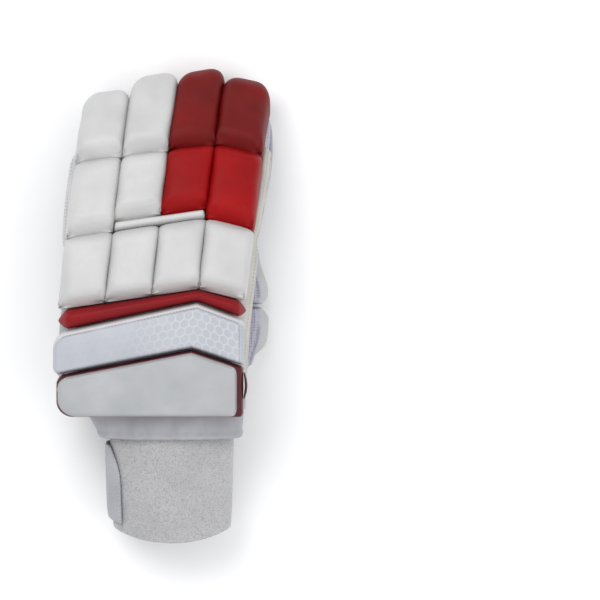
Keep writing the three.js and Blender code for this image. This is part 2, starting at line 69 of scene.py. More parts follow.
# %% The curl
FINGER_PITCH = 28.0
CUFF_ROW, CROSS_PAD_ROW, CROSS_BAR_ROW = 78.0, 119.1, 147.2
KNUCKLE_ROW, STRIP_ROW, TIP_ROW = 154.8, 195.4, 240.5
WEB_ROW, GLOVE_LENGTH, ROW_GAP = 192.4, 297.5, 0.6
LEAN = 0.114
ARCH_CENTRE, ARCH_PALM, ARCH_TIPS = 20.0, 0.0011, 0.0024
CHEVRON_ULNAR, CHEVRON_RADIAL = 0.147, 0.25
WRIST_SLOPE = 10.0
BENDS = [(CUFF_ROW - 8, -8, 26), (KNUCKLE_ROW - 6, -8, 56), (STRIP_ROW, -14, 26), (TIP_ROW, -14, 24)]
SHIFT = np.array([-4.62372, -142.96116, 48.31905])
FLOOR = -SHIFT[2]


def smooth(value, start, end):
    part = np.clip((np.asarray(value, float) - start) / (end - start), 0, 1)
    return part * part * (3 - 2 * part)


def mix(a, b, part):
    return a + (b - a) * part


def slope_at(along):
    slope = WRIST_SLOPE + sum(
        turn * smooth(along, at - spread / 2, at + spread / 2) for at, turn, spread in BENDS
    )
    return np.radians(slope)


steps = np.arange(0, math.ceil(GLOVE_LENGTH) + 1)
path_y = np.concatenate([[0], np.cumsum(np.cos(slope_at(steps + 0.5)))])
path_z = np.concatenate([[0], np.cumsum(np.sin(slope_at(steps + 0.5)))])
print("the path ends at", path_y[-1].round(1), path_z[-1].round(1), "mm")

# %% [markdown]
# The rows of rolls aren't level: they rise to a peak over the index finger and fall to both sides, as
# knuckles do. So each point first slides along by that chevron, and then goes onto the path. The back
# is also arched from side to side.

# %% Rows and arch
def path_at(along):
    row = np.clip(np.floor(along), 0, len(path_y) - 2).astype(int)
    part = along - row
    return mix(path_y[row], path_y[row + 1], part), mix(path_z[row], path_z[row + 1], part)


def peak_x(along):
    return FINGER_PITCH + LEAN * (along - KNUCKLE_ROW)


def chevron(across):
    return np.where(across < 0, CHEVRON_ULNAR, -CHEVRON_RADIAL) * across


def curl(x, along, height):
    """Flat pattern in millimetres to points of the scene in metres."""
    x, along, height = np.broadcast_arrays(*(np.asarray(v, float) for v in (x, along, height)))
    shift = chevron(x - peak_x(along)) * smooth(along, CUFF_ROW, KNUCKLE_ROW)
    row = along - shift
    y, z = path_at(row)
    slope = slope_at(row)
    arch = mix(ARCH_PALM, ARCH_TIPS, smooth(row, KNUCKLE_ROW, GLOVE_LENGTH)) * (x - ARCH_CENTRE) ** 2
    y = y + shift * np.cos(slope) - height * np.sin(slope)
    z = z + shift * np.sin(slope) + height * np.cos(slope) - arch
    points = np.stack([x, y, np.maximum(z, FLOOR)], axis=-1) + SHIFT
    return points * MM


def on_row(across, row, height):
    """A place beside the peak of a row, curled."""
    return curl(across + peak_x(row), row + chevron(across), height)


print("fingertip of the middle finger at", on_row(-14, GLOVE_LENGTH, 0).round(4))

# %% [markdown]
# ## Camera and light
# The photo looks straight down on the back of the glove, against white. A long lens from far away
# keeps the rolls as parallel as they are there. A near camera would be easier to place, but it would
# spread the fingers.

# %% Camera
PIXEL = 0.6 * MM
FRAME_PIXELS = 600
ORIGIN_COLUMN, ORIGIN_ROW = 152, 545
PHOTO_MIDDLE = ((FRAME_PIXELS / 2 - ORIGIN_COLUMN) * PIXEL + SHIFT[0] * MM,
                (ORIGIN_ROW - FRAME_PIXELS / 2) * PIXEL + SHIFT[1] * MM)
CAMERA_HEIGHT, BACK_HEIGHT, SENSOR = 6.0, 0.055, 36

bpy.ops.object.select_all(action="DESELECT")
bpy.ops.object.camera_add(location=(*PHOTO_MIDDLE, CAMERA_HEIGHT), rotation=(0, 0, 0))
camera = bpy.context.object
camera.name = "photo_camera"
camera.data.sensor_width = SENSOR
camera.data.lens = SENSOR * (CAMERA_HEIGHT - BACK_HEIGHT) / (FRAME_PIXELS * PIXEL)
bpy.context.scene.camera = camera
print("lens", round(camera.data.lens, 1), "mm")

# %% [markdown]
# White leather on a white ground needs broad, even light, or the gaps between the rolls turn black. A
# pale world does most of it. A soft light from the upper left and a weaker fill on the other side
# give the rolls their shading without hard shadows.

# %% Light
world = bpy.data.worlds.new("studio")
bpy.context.scene.world = world
bpy.context.scene.view_settings.view_transform = "Standard"
world.use_nodes = True
world.node_tree.nodes["Background"].inputs["Color"].default_value = (0.985, 0.99, 1.0, 1)
world.node_tree.nodes["Background"].inputs["Strength"].default_value = 0.86


def softbox(name, place, size, power):
    """A square light that faces the glove."""
    bpy.ops.object.light_add(type="AREA", location=place)
    lamp = bpy.context.object
    lamp.name = name
    lamp.data.size = size
    lamp.data.energy = power
    lamp.rotation_mode = "QUATERNION"
    lamp.rotation_quaternion = (-lamp.location).to_track_quat("-Z", "Y")
    return lamp


softbox("key_light", (-0.45, 0.55, 1.2), 0.8, 8)
softbox("fill_light", (0.9, -0.3, 1.0), 1.0, 4)
softbox("rim_light", (0.2, -1.1, 0.5), 0.6, 1.6)

# %% [markdown]
# ## Materials
# A finish is more than its colour. Leather has fine grain that catches the light, a slow drift of
# colour from handling, and wear that changes how it shines. All of that is made here from noise and
# cell patterns on object coordinates, so it stays in place from every side.

# %% Node helpers
def new_material(name, colour, roughness):
    """A material, its node tree and its main shader."""
    material = bpy.data.materials.new(name)
    material.use_nodes = True
    tree = material.node_tree
    shader = tree.nodes["Principled BSDF"]
    shader.inputs["Base Color"].default_value = (*colour, 1)
    shader.inputs["Roughness"].default_value = roughness
    material.diffuse_color = (*colour, 1)
    return material, tree, shader


def node(tree, kind, settings=None, **inputs):
    """A node of this kind: numbers and colours go to its sockets, other sockets are linked."""
    made = tree.nodes.new(kind)
    for key, value in (settings or {}).items():
        setattr(made, key, value)
    for key, value in inputs.items():
        socket = made.inputs[int(key[1:]) if key[0] == "n" and key[1:].isdigit() else key.replace("_", " ")]
        if isinstance(value, bpy.types.NodeSocket):
            tree.links.new(value, socket)
        else:
            socket.default_value = value
    return made


def object_point(tree):
    return tree.nodes.new("ShaderNodeTexCoord").outputs["Object"]


print("nodes are made by name")

# %% [markdown]
# Noise and cells take the place of painted textures. Painting would need an unwrapped surface, and
# these nets have seams in places where leather has none.

# %% Patterns
def noise(tree, scale, detail=2, **more):
    """Cloudy unevenness, about this many spots to a metre."""
    return node(tree, "ShaderNodeTexNoise", None, Vector=object_point(tree), Scale=scale, Detail=detail,
                **more).outputs["Fac"]


def cells(tree, feature, scale, **more):
    """Distance to the cells of a pattern with about this many cells to a metre."""
    return node(tree, "ShaderNodeTexVoronoi", {"feature": feature}, Vector=object_point(tree), Scale=scale,
                **more).outputs["Distance"]


def written(tree, name):
    """A value that was written on the points of a net."""
    return node(tree, "ShaderNodeAttribute", {"attribute_name": name}).outputs["Fac"]


def cloudy(tree, fog, dark, light):
    return blend(tree, ramp(tree, fog, 0, 1), dark, light)


def mesh_holes(tree):
    """The holes of a knitted mesh, and the distance to them."""
    spots = cells(tree, "F1", 620, Randomness=0.25)
    return ramp(tree, spots, 0, 1, 0.42, 0.25), spots


def dress(tree, **sockets):
    """Links into the main shader; an underline in a name stands for a space."""
    for name, value in sockets.items():
        tree.links.new(value, tree.nodes["Principled BSDF"].inputs[name.replace("_", " ")])


def ramp(tree, value, low, high, from_low=0.3, from_high=0.7):
    """A value from low to high as the given one goes between its limits."""
    mapped = node(tree, "ShaderNodeMapRange", None, Value=value)
    mapped.inputs["From Min"].default_value = from_low
    mapped.inputs["From Max"].default_value = from_high
    mapped.inputs["To Min"].default_value = low
    mapped.inputs["To Max"].default_value = high
    return mapped.outputs["Result"]


def blend(tree, factor, first, second):
    """Colours mixed by a factor."""
    mixed = tree.nodes.new("ShaderNodeMix")
    mixed.data_type = "RGBA"
    tree.links.new(factor, mixed.inputs["Factor"])
    for socket, value in ((mixed.inputs[6], first), (mixed.inputs[7], second)):
        if isinstance(value, bpy.types.NodeSocket):
            tree.links.new(value, socket)
        else:
            socket.default_value = (*value, 1)
    return mixed.outputs[2]


def bump(tree, height, distance, strength=1.0, normal=None):
    """Height in the surface, in metres."""
    made = node(tree, "ShaderNodeBump", None, Height=height, Distance=distance, Strength=strength)
    if normal is not None:
        tree.links.new(normal, made.inputs["Normal"])
    return made.outputs["Normal"]


print("patterns, colours and relief are ready")

# %% [markdown]
# The leather on the rolls is smooth coated hide: fine pebble grain half a millimetre across,
# faint longer creases, and slightly duller places where it is handled. The palm is suede-like and
# softer, with the grain more visible and hardly any shine.

# %% Leather
def leather(name, colour, roughness, grain=0.00004, wear=0.12, tint=None, shine=0.5):
    """Coated or plain hide with grain, creases and a slow drift of colour."""
    material, tree, shader = new_material(name, colour, roughness)
    drift, fine = noise(tree, 38, 4), noise(tree, 420, 3)
    dark = tint or tuple(c * (1 - wear) for c in colour)
    light = tuple(min(1, c * (1 + wear / 3)) for c in colour)
    shade = cloudy(tree, drift, dark, light)
    shade = blend(tree, ramp(tree, fine, 0, 0.25, 0.45, 0.75), shade, dark)
    pebbles = ramp(tree, cells(tree, "DISTANCE_TO_EDGE", 1900), 0, 1, 0, 0.25)
    normal = bump(tree, noise(tree, 95, 6, Roughness=0.62), grain * 9, 0.5, bump(tree, pebbles, grain, 0.7))
    dull = ramp(tree, drift, roughness - 0.06, roughness + 0.08)
    dress(tree, Base_Color=shade, Roughness=dull, Normal=normal)
    shader.inputs["Specular IOR Level"].default_value = shine
    return material


white_leather = leather("white_leather", (0.52, 0.518, 0.512), 0.42, tint=(0.465, 0.463, 0.463))
# white leather darkened with painted shade, for the cuff pad and its flap
cuff_leather_painted_shade = leather("cuff_leather_painted_shade", (0.375, 0.382, 0.392), 0.45, tint=(0.325, 0.335, 0.35))
# white leather darkened with painted shade, for the back panel and its skirt
back_leather_painted_shade = leather("back_leather_painted_shade", (0.35, 0.35, 0.378), 0.5, tint=(0.29, 0.29, 0.32))
dark_red_leather = leather("dark_red_leather", (0.158, 0.004, 0.004), 0.5, wear=0.3, shine=0.18)
bright_red_leather = leather("bright_red_leather", (0.295, 0.002, 0.003), 0.5, wear=0.24, shine=0.16)
bar_red_leather = leather("bar_red_leather", (0.235, 0.004, 0.008), 0.5, wear=0.24, shine=0.2)
burgundy_leather = leather("burgundy_leather", (0.075, 0.006, 0.012), 0.46, wear=0.25, shine=0.3)
print(len(bpy.data.materials), "materials so far")

# %% [markdown]
# ## Padded rolls
# A roll is a sausage of foam in a leather sleeve. Its end towards the wrist is folded down and sewn,
# which leaves a sloping bevel with pinched corners, and its other end tucks under the next roll. A
# cloth simulation could inflate it, but the folded bevel would swell away. Here a cube is cut into a
# fine net, rounded into a cushion, and then shaped by code as a sculptor would push it. First come the
# small helpers that every piece uses.

# %% Net helpers
SEAM_WELD = 0.02 * MM


def only(obj):
    bpy.ops.object.select_all(action="DESELECT")
    obj.select_set(True)
    bpy.context.view_layer.objects.active = obj


def named(name):
    obj = bpy.context.object
    obj.name = name
    obj.data.name = name
    only(obj)
    return obj


def read_points(obj):
    points = np.zeros(len(obj.data.vertices) * 3)
    obj.data.vertices.foreach_get("co", points)
    return points.reshape(-1, 3)


def write_points(obj, points):
    obj.data.vertices.foreach_set("co", np.ascontiguousarray(points, float).ravel())
    obj.data.update()


def write_pattern(obj, u, v):
    """Flat pattern coordinates of each corner, in millimetres, as the piece's UV map."""
    if not obj.data.uv_layers:
        obj.data.uv_layers.new(name="UVMap")
    corner = np.zeros(len(obj.data.loops), int)
    obj.data.loops.foreach_get("vertex_index", corner)
    pattern = np.stack([np.broadcast_to(u, len(obj.data.vertices))[corner],
                        np.broadcast_to(v, len(obj.data.vertices))[corner]], axis=-1)
    obj.data.uv_layers[0].data.foreach_set("uv", pattern.ravel())


def write_value(obj, name, values):
    """A value for each point that a material can read."""
    layer = obj.data.attributes.new(name, "FLOAT", "POINT")
    layer.data.foreach_set("value", np.ascontiguousarray(values, np.float32))


print("points can be read and written")

# %% [markdown]
# Operators of Edit Mode work on whatever is selected, so one helper selects all of a mesh, runs them
# and leaves the mode again. Every piece ends in the same way: smooth, with its material and its place.

# %% Editing and finishing
def edit(obj, *steps):
    """Edit mode with all of a mesh selected: each step is an operator and its settings."""
    only(obj)
    bpy.ops.object.mode_set(mode="EDIT")
    bpy.ops.mesh.select_all(action="SELECT")
    for step, settings in steps:
        step(**settings)
    bpy.ops.object.mode_set(mode="OBJECT")


def merge(obj):
    edit(obj, (bpy.ops.mesh.remove_doubles, {"threshold": SEAM_WELD}))


def outward(obj):
    edit(obj, (bpy.ops.mesh.normals_make_consistent, {"inside": False}))


def finish(obj, material, slot, *replaced, fill=None):
    """Smooth shading, a material and a place in the frame."""
    only(obj)
    bpy.ops.object.shade_smooth()
    obj.data.materials.clear()
    obj.data.materials.append(material)
    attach(obj, "root")
    if replaced:
        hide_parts(*replaced)
    return obj


def ripple(u, v, seed, size):
    """Low soft unevenness, about -1 to 1, over a pattern in millimetres."""
    rng = np.random.default_rng(seed)
    total = 0
    for _ in range(5):
        angle, phase = rng.uniform(0, math.tau, 2)
        wave = math.tau / (size * rng.uniform(0.6, 1.5))
        total = total + np.sin(wave * (u * math.cos(angle) + v * math.sin(angle)) + phase)
    return total / 3


def lower_of(a, b, sharpness):
    """The lower of two surfaces, with a crease where they meet."""
    return -np.logaddexp(-sharpness * a, -sharpness * b) / sharpness


print("nets can be merged, turned and finished")

# %% [markdown]
# Stitches and cords follow lines, so a few helpers measure a line and find places along it.

# %% Lines and copies
def run_of(line):
    """Distance from the start of a line at each of its points."""
    return np.concatenate([[0], np.cumsum(np.linalg.norm(np.diff(line, axis=0), axis=1))])


def points_at(places, run, line):
    return np.stack([np.interp(places, run, line[:, k]) for k in range(line.shape[1])], axis=-1)


def unit(vectors):
    return vectors / (np.linalg.norm(vectors, axis=1)[:, None] + 1e-12)


def copies(obj, shape, places):
    """Fills a mesh with copies of its own small shape; a place is a centre and three axes."""
    faces = [part.vertices[:] for part in obj.data.polygons]
    points = [centre + shape @ np.array(axes) for centre, axes in places]
    everywhere = [[v + len(shape) * n for v in face_part] for n in range(len(points)) for face_part in faces]
    obj.data.clear_geometry()
    obj.data.from_pydata(np.concatenate(points).tolist(), [], everywhere)
    obj.data.update()


def rim(share, steps):
    """0 at both ends of a share, and rising by this much for the whole of it."""
    return np.minimum(share, 1 - share) * steps


print("helpers ready; seams are welded at", SEAM_WELD, "m")

# %% [markdown]
# A cushion is a box whose section is a rounded square and whose two ends close in their own way. A
# scaled sphere would give only one kind of end. Dividing each point of the net by its own rounded
# radius leaves the sides straight and sets each end apart.

# %% A cushion net
def cushion(name, cuts):
    """A cube cut into a fine net, two units wide."""
    bpy.ops.mesh.primitive_cube_add(size=2)
    obj = named(name)
    edit(obj, (bpy.ops.mesh.subdivide, {"number_cuts": cuts}))
    return obj


def round_ends(obj, length, low, high, square):
    """Each point's place across and up, from -1 to 1, and along in mm; an end is (share, power, mm)."""
    net = read_points(obj)
    a, run, c = net[:, 0], (net[:, 1] + 1) / 2, net[:, 2]
    low_end = np.clip((low[0] - run) / low[0], 0, 1)
    high_end = np.clip((run - 1 + high[0]) / high[0], 0, 1)
    end = np.maximum(low_end, high_end)
    power = np.where(low_end > 0, low[1], high[1])
    ring = np.abs(a) ** square + np.abs(c) ** square
    size = (ring ** (power / square) + end ** power) ** (1 / power)
    body = np.clip((run - low[0]) / (1 - low[0] - high[0]), 0, 1)
    along = low[2] + body * (length - low[2] - high[2])
    along = along - (low_end > 0) * end / size * low[2] + (high_end > 0) * end / size * high[2]
    return a / size, c / size, along


# %% [markdown]
# Four fingers have three rolls each, and the outer two are shorter. The table names what differs from
# finger to finger, so that one loop can make all twelve.

# %% The fingers
FINGERS = {
    "index": dict(column=0, tip=0.93, strip=0, flare=1, red=True),
    "middle": dict(column=1, tip=1.0, strip=1, flare=0, red=True),
    "ring": dict(column=2, tip=1.02, strip=1, flare=0, red=False),
    "little": dict(column=3, tip=0.9, strip=0, flare=-1, red=False),
}
ROLL_WIDTH, ROLL_HEIGHT, STRIP_LENGTH = 29.3, 17.0, 5.0
KNUCKLE_ROLL_LENGTH, TIP_ROLL_LENGTH = 40.0, 57.0
ROLL_CUTS = 38


def finger_middle(finger):
    return -(finger["column"] - 0.5) * FINGER_PITCH


def tip_end(finger):
    return TIP_ROW + finger["tip"] * TIP_ROLL_LENGTH


print("fingertips end at rows", [round(tip_end(finger), 1) for finger in FINGERS.values()])

# %% [markdown]
# Where the lower end is folded and sewn, the leather slopes down to the seam and gathers at both
# corners. The slope is the lower of two surfaces, with a crease between them. Each corner is pulled
# in by small folds that fan out from it, drawn at random for each roll.

# %% The folded end
BEVEL_REACH, BEVEL_REST, BEVEL_CREASE = 7.143, 0.45, 5.0
PUCKER_RADIUS, PUCKER_DEPTH = 5.8, (2.5, 3.5)


def bevel_and_puckers(height, wide, along, top, seed):
    """The folded end of a roll: a slope from the seam, and pinched folds round both corners."""
    slope = top * BEVEL_REST + along * (top * (1 - BEVEL_REST) / BEVEL_REACH)
    height = np.where(height > 0, lower_of(height, np.maximum(slope, 0.5), BEVEL_CREASE), height)
    rng = np.random.default_rng(seed)
    for side in (-1, 1):
        beside = (1 - side * wide) * ROLL_WIDTH / 2
        distance = np.hypot(beside, along - 1)
        turn = np.arctan2(along - 1, beside + 0.01)
        folds = 0.5 + 0.5 * np.cos(rng.uniform(6, 8) * turn + rng.uniform(0, 6))
        pull = rng.uniform(*PUCKER_DEPTH) * np.exp(-(distance / PUCKER_RADIUS) ** 2)
        height = height - pull * folds * (height > 0)
    return height


print("bevels rise from", round(BEVEL_REST * ROLL_HEIGHT, 1), "to", ROLL_HEIGHT, "mm")

# %% [markdown]
# The body of a roll is a straight cushion. A fingertip roll is longer, droops towards its end and
# closes in a round cap, whose underside is gathered into pleats. Both are curled onto their row last.

# %% The finger rolls
ROLL_TUCK, ROLL_LAP, ROLL_SQUARE = 1.6, 0.5, 4.4
SEWN_END, TUCKED_END, CAP_END = (0.3, 4.0, 1.8), (0.3, 4.0, 3.0), (0.27, 2.0, 16.5)
PLEATS, PLEAT_DEPTH = 6.5, 1.3


def finger_roll(name, finger, start, length, material, slot, seed, tip=False):
    """One roll: its bevel, its tucked or capped end, and its unevenness."""
    obj = cushion(name, ROLL_CUTS)
    whole = length + ROLL_TUCK
    wide, up, along = round_ends(obj, whole, SEWN_END, CAP_END if tip else TUCKED_END, ROLL_SQUARE)
    share = along / whole
    stretch = 1 + (1.6 / length if tip and finger["strip"] else 0)
    fullness = 1 - 0.035 * np.exp(-(along / 3) ** 2) - (0 if tip else 0.03 * smooth(share, 0.86, 1))
    across = wide * fullness * (ROLL_WIDTH / 2 + 0.25 * ripple(along, up * 4, seed, 30))
    if tip:
        middle = -5.0 * smooth(along, length - 22, length)
        under = mix(2.4, 12.0, smooth(along, length - 32, length - 7))
        sag = 1 - 0.08 * smooth(share, 0.3, 0.85)
        height = middle + np.where(up > 0, up * (ROLL_HEIGHT * sag - middle), up * (under + middle))
        spin = np.arctan2(along - (length - 14), across)
        pleat = (np.abs(np.sin(PLEATS * spin)) ** 0.5 - 1) * smooth(along, length - 15, length - 9)
        pleat = PLEAT_DEPTH * pleat * smooth(-up, -0.3, 0.15)
        across = across + pleat * np.cos(spin)
        along_out = along + pleat * np.sin(spin)
    else:
        ends = 1 - 0.34 * smooth(share, 0.86, 1.0) - 0.03 * smooth(share, 0.3, 0.8)
        height = np.where(up > 0, up * ROLL_HEIGHT * ends, up * 3.0)
        along_out = along
    height = height + np.where(up > 0.2, 0.28 * ripple(across, along, seed + 7, 18), 0)
    height = bevel_and_puckers(height, wide * fullness, along, ROLL_HEIGHT, seed)
    centre = finger_middle(finger)
    write_points(obj, on_row(centre + across, start - ROLL_LAP + along_out * stretch, height))
    write_pattern(obj, centre + across, start + along)
    return finish(obj, material, slot, name, fill=0.9)


WHITE, BRIGHT = (white_leather, "white_leather"), (bright_red_leather, "bright_red_leather")
DARK = (dark_red_leather, "dark_red_leather")
for seed, (finger_name, finger) in enumerate(FINGERS.items()):
    mid_start = STRIP_ROW + finger["strip"] * (STRIP_LENGTH + ROW_GAP)
    mid_hide, tip_hide = (BRIGHT, DARK) if finger["red"] else (WHITE, WHITE)
    finger_roll(f"knuckle_roll_{finger_name}", finger, KNUCKLE_ROW, KNUCKLE_ROLL_LENGTH, *WHITE, 10 + seed)
    finger_roll(f"mid_roll_{finger_name}", finger, mid_start, TIP_ROW - ROW_GAP - mid_start,
                *mid_hide, 20 + seed)
    finger_roll(f"tip_roll_{finger_name}", finger, TIP_ROW, finger["tip"] * TIP_ROLL_LENGTH,
                *tip_hide, 30 + seed, tip=True)
print("rolls:", len([o for o in bpy.data.objects if "_roll_" in o.name and "." not in o.name]))

# %% [markdown]
# ## Pads across the hand
# Below the rolls lie a thin strip, a faceted bar, a pad with a raised honeycomb and the cuff pad.
# They follow the peak of the rows, so each one is a bar whose two long edges have their own slant.

# %% Cross bar and knuckle strip
ULNAR_EDGE, RADIAL_EDGE, BAR_CUTS = -3 * FINGER_PITCH, FINGER_PITCH, 36


def row_at(edge, x):
    """Row of a slanted edge at x; the edge is its row at the peak and how steep it is."""
    return edge[0] + edge[1] * chevron(x - peak_x(edge[0]))


def cross_cushion(name, left, right, low, high, top, base, ends, square, material, slot, seed):
    """A padded bar across the hand between two slanted edges."""
    obj = cushion(name, BAR_CUTS)
    wide, up, run = round_ends(obj, right - left, *ends, square)
    height = np.where(up > 0, up * top, up * -base)
    height = height + np.where(up > 0.3, 0.2 * ripple(run, wide * 8, seed, 24), 0)
    x = left + run
    start, end = row_at(low, x), row_at(high, x)
    along = (start + end) / 2 + wide * (end - start) / 2
    write_points(obj, curl(x, along, height))
    write_pattern(obj, x, along)
    outward(obj)
    print(name, round(right - left), "mm wide")
    return finish(obj, material, slot, name, fill=0.9)


STRIP_WIDTH = 2 * FINGER_PITCH
cross_cushion("knuckle_strip", peak_x(STRIP_ROW) - STRIP_WIDTH + 0.6, peak_x(STRIP_ROW) - 0.6,
              low=(STRIP_ROW, 1), high=(STRIP_ROW + STRIP_LENGTH, 1), top=12.6, base=-1.0,
              ends=((0.06, 2.4, 2.0), (0.06, 2.4, 2.0)), square=3.2,
              material=white_leather, slot="white_leather", seed=51)
bar_peak = peak_x(CROSS_BAR_ROW)
cross_cushion("cross_bar", bar_peak + ULNAR_EDGE + 0.6, bar_peak + RADIAL_EDGE + 1.4,
              low=(CROSS_BAR_ROW, 1.45), high=(KNUCKLE_ROW - ROW_GAP, 1), top=14.0, base=-2.5,
              ends=((0.08, 1.25, 6.0), (0.08, 1.25, 5.0)), square=1.9,
              material=bar_red_leather, slot="bar_red_leather", seed=52)

# %% [markdown]
# The honeycomb pad and the cuff pad are wide and shallow, so each starts from a flat grid. Its edges
# turn down over a small bevel, its corners are rounded in plan, and its underside is closed. The
# grid is fine enough to carry the raised honeycomb as real relief.

# %% Wide pads from a grid
def net(name, columns, rows):
    """A grid and, for each of its points, how far across and along it lies, from 0 to 1."""
    bpy.ops.mesh.primitive_grid_add(x_subdivisions=columns, y_subdivisions=rows, size=2)
    obj = named(name)
    flat = read_points(obj)
    return obj, (flat[:, 0] + 1) / 2, (flat[:, 1] + 1) / 2


def turn_down(share, half, bevel, edge=0.12):
    """Distance from the middle and a factor on the height, for a share from -1 to 1 that ends in a bevel."""
    size = np.abs(share)
    flat = np.minimum(size / (1 - edge), 1) * (half - bevel)
    angle = np.clip((size - 1 + edge) / edge, 0, 1) * math.pi / 2
    return np.sign(share) * (flat + bevel * np.sin(angle) ** 0.9), np.maximum(np.cos(angle), 0) ** 0.8


def corner(distance, radius):
    """How far a rounded corner draws an edge in, at this distance from the end."""
    inside = np.clip(radius - distance, 0, radius)
    return radius - np.sqrt(radius ** 2 - inside ** 2)


def close_under(obj):
    """One face over the open border below."""
    mesh = bpy.ops.mesh
    edit(obj, (mesh.select_mode, {"type": "EDGE"}), (mesh.select_all, {"action": "DESELECT"}),
         (mesh.select_non_manifold, {}), (mesh.edge_face_add, {}))
    outward(obj)


print("edges end", corner(0, 5), "mm further in at a corner of 5 mm")

# %% [markdown]
# A pad knows its outline and its own height, so that stitches can be laid on it later.

# %% A pad across the hand
class CrossPad:
    """A pad across the hand: its outline, and the height of its surface."""

    def __init__(self, left, right, low, high, base, top, bevel, radii, crown):
        self.left, self.right, self.low, self.high = left, right, low, high
        self.base, self.top, self.bevel, self.radii, self.crown = base, top, bevel, radii, crown

    def edges(self, x):
        """The two rows between which the pad lies at x; radii go round from the lower left corner."""
        start, end = row_at(self.low, x), row_at(self.high, x)
        from_left, from_right = x - self.left, self.right - x
        start = start + corner(from_left, self.radii[0]) + corner(from_right, self.radii[1])
        end = end - corner(from_left, self.radii[3]) - corner(from_right, self.radii[2])
        return start, end

    def points(self, u, v, relief=None):
        half = (self.right - self.left) / 2
        reach, fall_x = turn_down(2 * u - 1, half, self.bevel, 0.05)
        x = (self.left + self.right) / 2 + reach
        start, end = self.edges(x)
        width = np.maximum(end - start, 1)
        reach, fall_y = turn_down(2 * v - 1, 1, self.bevel / (width / 2))
        along = (start + end) / 2 + reach * width / 2
        crown = self.crown * (1 - (reach * 1.05) ** 2) - self.crown
        height = self.top + crown
        if relief is not None:
            height = height + relief(x, along, along - start, end - along)
        return x, along, self.base + (height - self.base) * fall_x * fall_y

    def surface(self, x, along):
        """Height on top of the pad, away from its bevels."""
        start, end = self.edges(x)
        share = (2 * along - start - end) / np.maximum(end - start, 1)
        return self.top - self.crown * (share * 1.05) ** 2


def honeycomb(x, y, size):
    """Distance in mm from the nearest wall of a honeycomb."""
    step = np.array([1, math.sqrt(3)])
    place = np.stack([x, y], axis=-1) / size
    first = np.mod(place, step) - step / 2
    second = np.mod(place - step / 2, step) - step / 2
    near = np.where(((first ** 2).sum(-1) < (second ** 2).sum(-1))[:, None], first, second)
    near = np.abs(near)
    return (0.5 - np.maximum(near[:, 0], near[:, 0] / 2 + near[:, 1] * math.sqrt(3) / 2)) * size


# %% [markdown]
# The honeycomb pad is bluish, with thin raised cell walls that are sharpest near the peak and fade
# towards the little finger. A white welt with a stitch line runs inside its upper edge.

# %% Honeycomb finish and thread
def honeycomb_finish():
    """Walls and welt are painted from values written on the pad."""
    material, tree, shader = new_material("honeycomb_leather", (0.66, 0.69, 0.77), 0.42)
    walls, drift = written(tree, "cell_walls"), noise(tree, 45, 5)
    shade = cloudy(tree, drift, (0.37, 0.385, 0.425), (0.42, 0.435, 0.475))
    shade = blend(tree, walls, shade, (0.50, 0.51, 0.535))
    shade = blend(tree, written(tree, "welt"), shade, (0.52, 0.52, 0.525))
    normal = bump(tree, drift, 0.0006, 0.4, bump(tree, noise(tree, 1500), 0.00003, 0.6))
    dress(tree, Base_Color=shade, Roughness=ramp(tree, walls, 0.46, 0.34, 0, 1), Normal=normal)
    return material


honeycomb_leather = honeycomb_finish()


def thread_finish(name, colour):
    material, tree, shader = new_material(name, colour, 0.65)
    strands = noise(tree, 2600)
    shade = cloudy(tree, strands, tuple(c * 0.8 for c in colour), colour)
    dress(tree, Base_Color=shade, Normal=bump(tree, strands, 0.00005))
    return material


white_thread = thread_finish("white_thread", (0.74, 0.74, 0.76))
grey_thread = thread_finish("grey_thread", (0.30, 0.31, 0.38))
tan_thread = thread_finish("tan_thread", (0.40, 0.37, 0.32))


def stitches(name, lines, material, slot, length=1.3, pitch=2.2, thick=0.4, lift=0.1, turn=0.0):
    """Short stitches along lines of points on a surface, all in metres, with a normal at each point."""
    bpy.ops.mesh.primitive_ico_sphere_add(subdivisions=1, radius=0.5)
    one = named(name)
    stitch = read_points(one) * [length, thick, thick * 0.7] * MM
    places = []
    for line, normals in lines:
        run = run_of(line)
        at = np.arange(pitch / 2, run[-1] / MM, pitch) * MM
        out = unit(points_at(at, run, normals))
        way = points_at(at + 0.3 * MM, run, line) - points_at(at - 0.3 * MM, run, line)
        way = unit(way - (way * out).sum(1)[:, None] * out)
        beside = np.cross(out, way)
        way, beside = (way * math.cos(turn) + beside * math.sin(turn),
                       beside * math.cos(turn) - way * math.sin(turn))
        centres = points_at(at, run, line) + out * lift * MM
        places += [(centre, axes) for centre, *axes in zip(centres, way, beside, out)]
    copies(one, stitch, places)
    print(name, len(places), "stitches")
    return finish(one, material, slot)


def surface_line(place, u, v):
    """Points and normals along a line on a mapped surface: place takes two arrays."""
    du = place(u + 0.2, v) - place(u - 0.2, v)
    dv = place(u, v + 0.2) - place(u, v - 0.2)
    return place(u, v), unit(np.cross(du, dv))


# %% [markdown]
# The honeycomb could be a bump map, but raised walls catch the light at the pad's rounded edge as well.
# The grid is fine enough to show them, and the same values paint the walls lighter.

# %% The honeycomb pad
CELL, WALL_WIDTH, WELT = 5.2, 0.45, 3.4
comb = CrossPad(peak_x(CROSS_PAD_ROW) + ULNAR_EDGE + 0.6, peak_x(CROSS_PAD_ROW) + RADIAL_EDGE + 3.7,
                (CROSS_PAD_ROW, 1.33), (CROSS_BAR_ROW - ROW_GAP, 1.45),
                base=-2.5, top=12.2, bevel=2.4, radii=(5, 2, 3, 9), crown=1.0)
comb_walls = {}


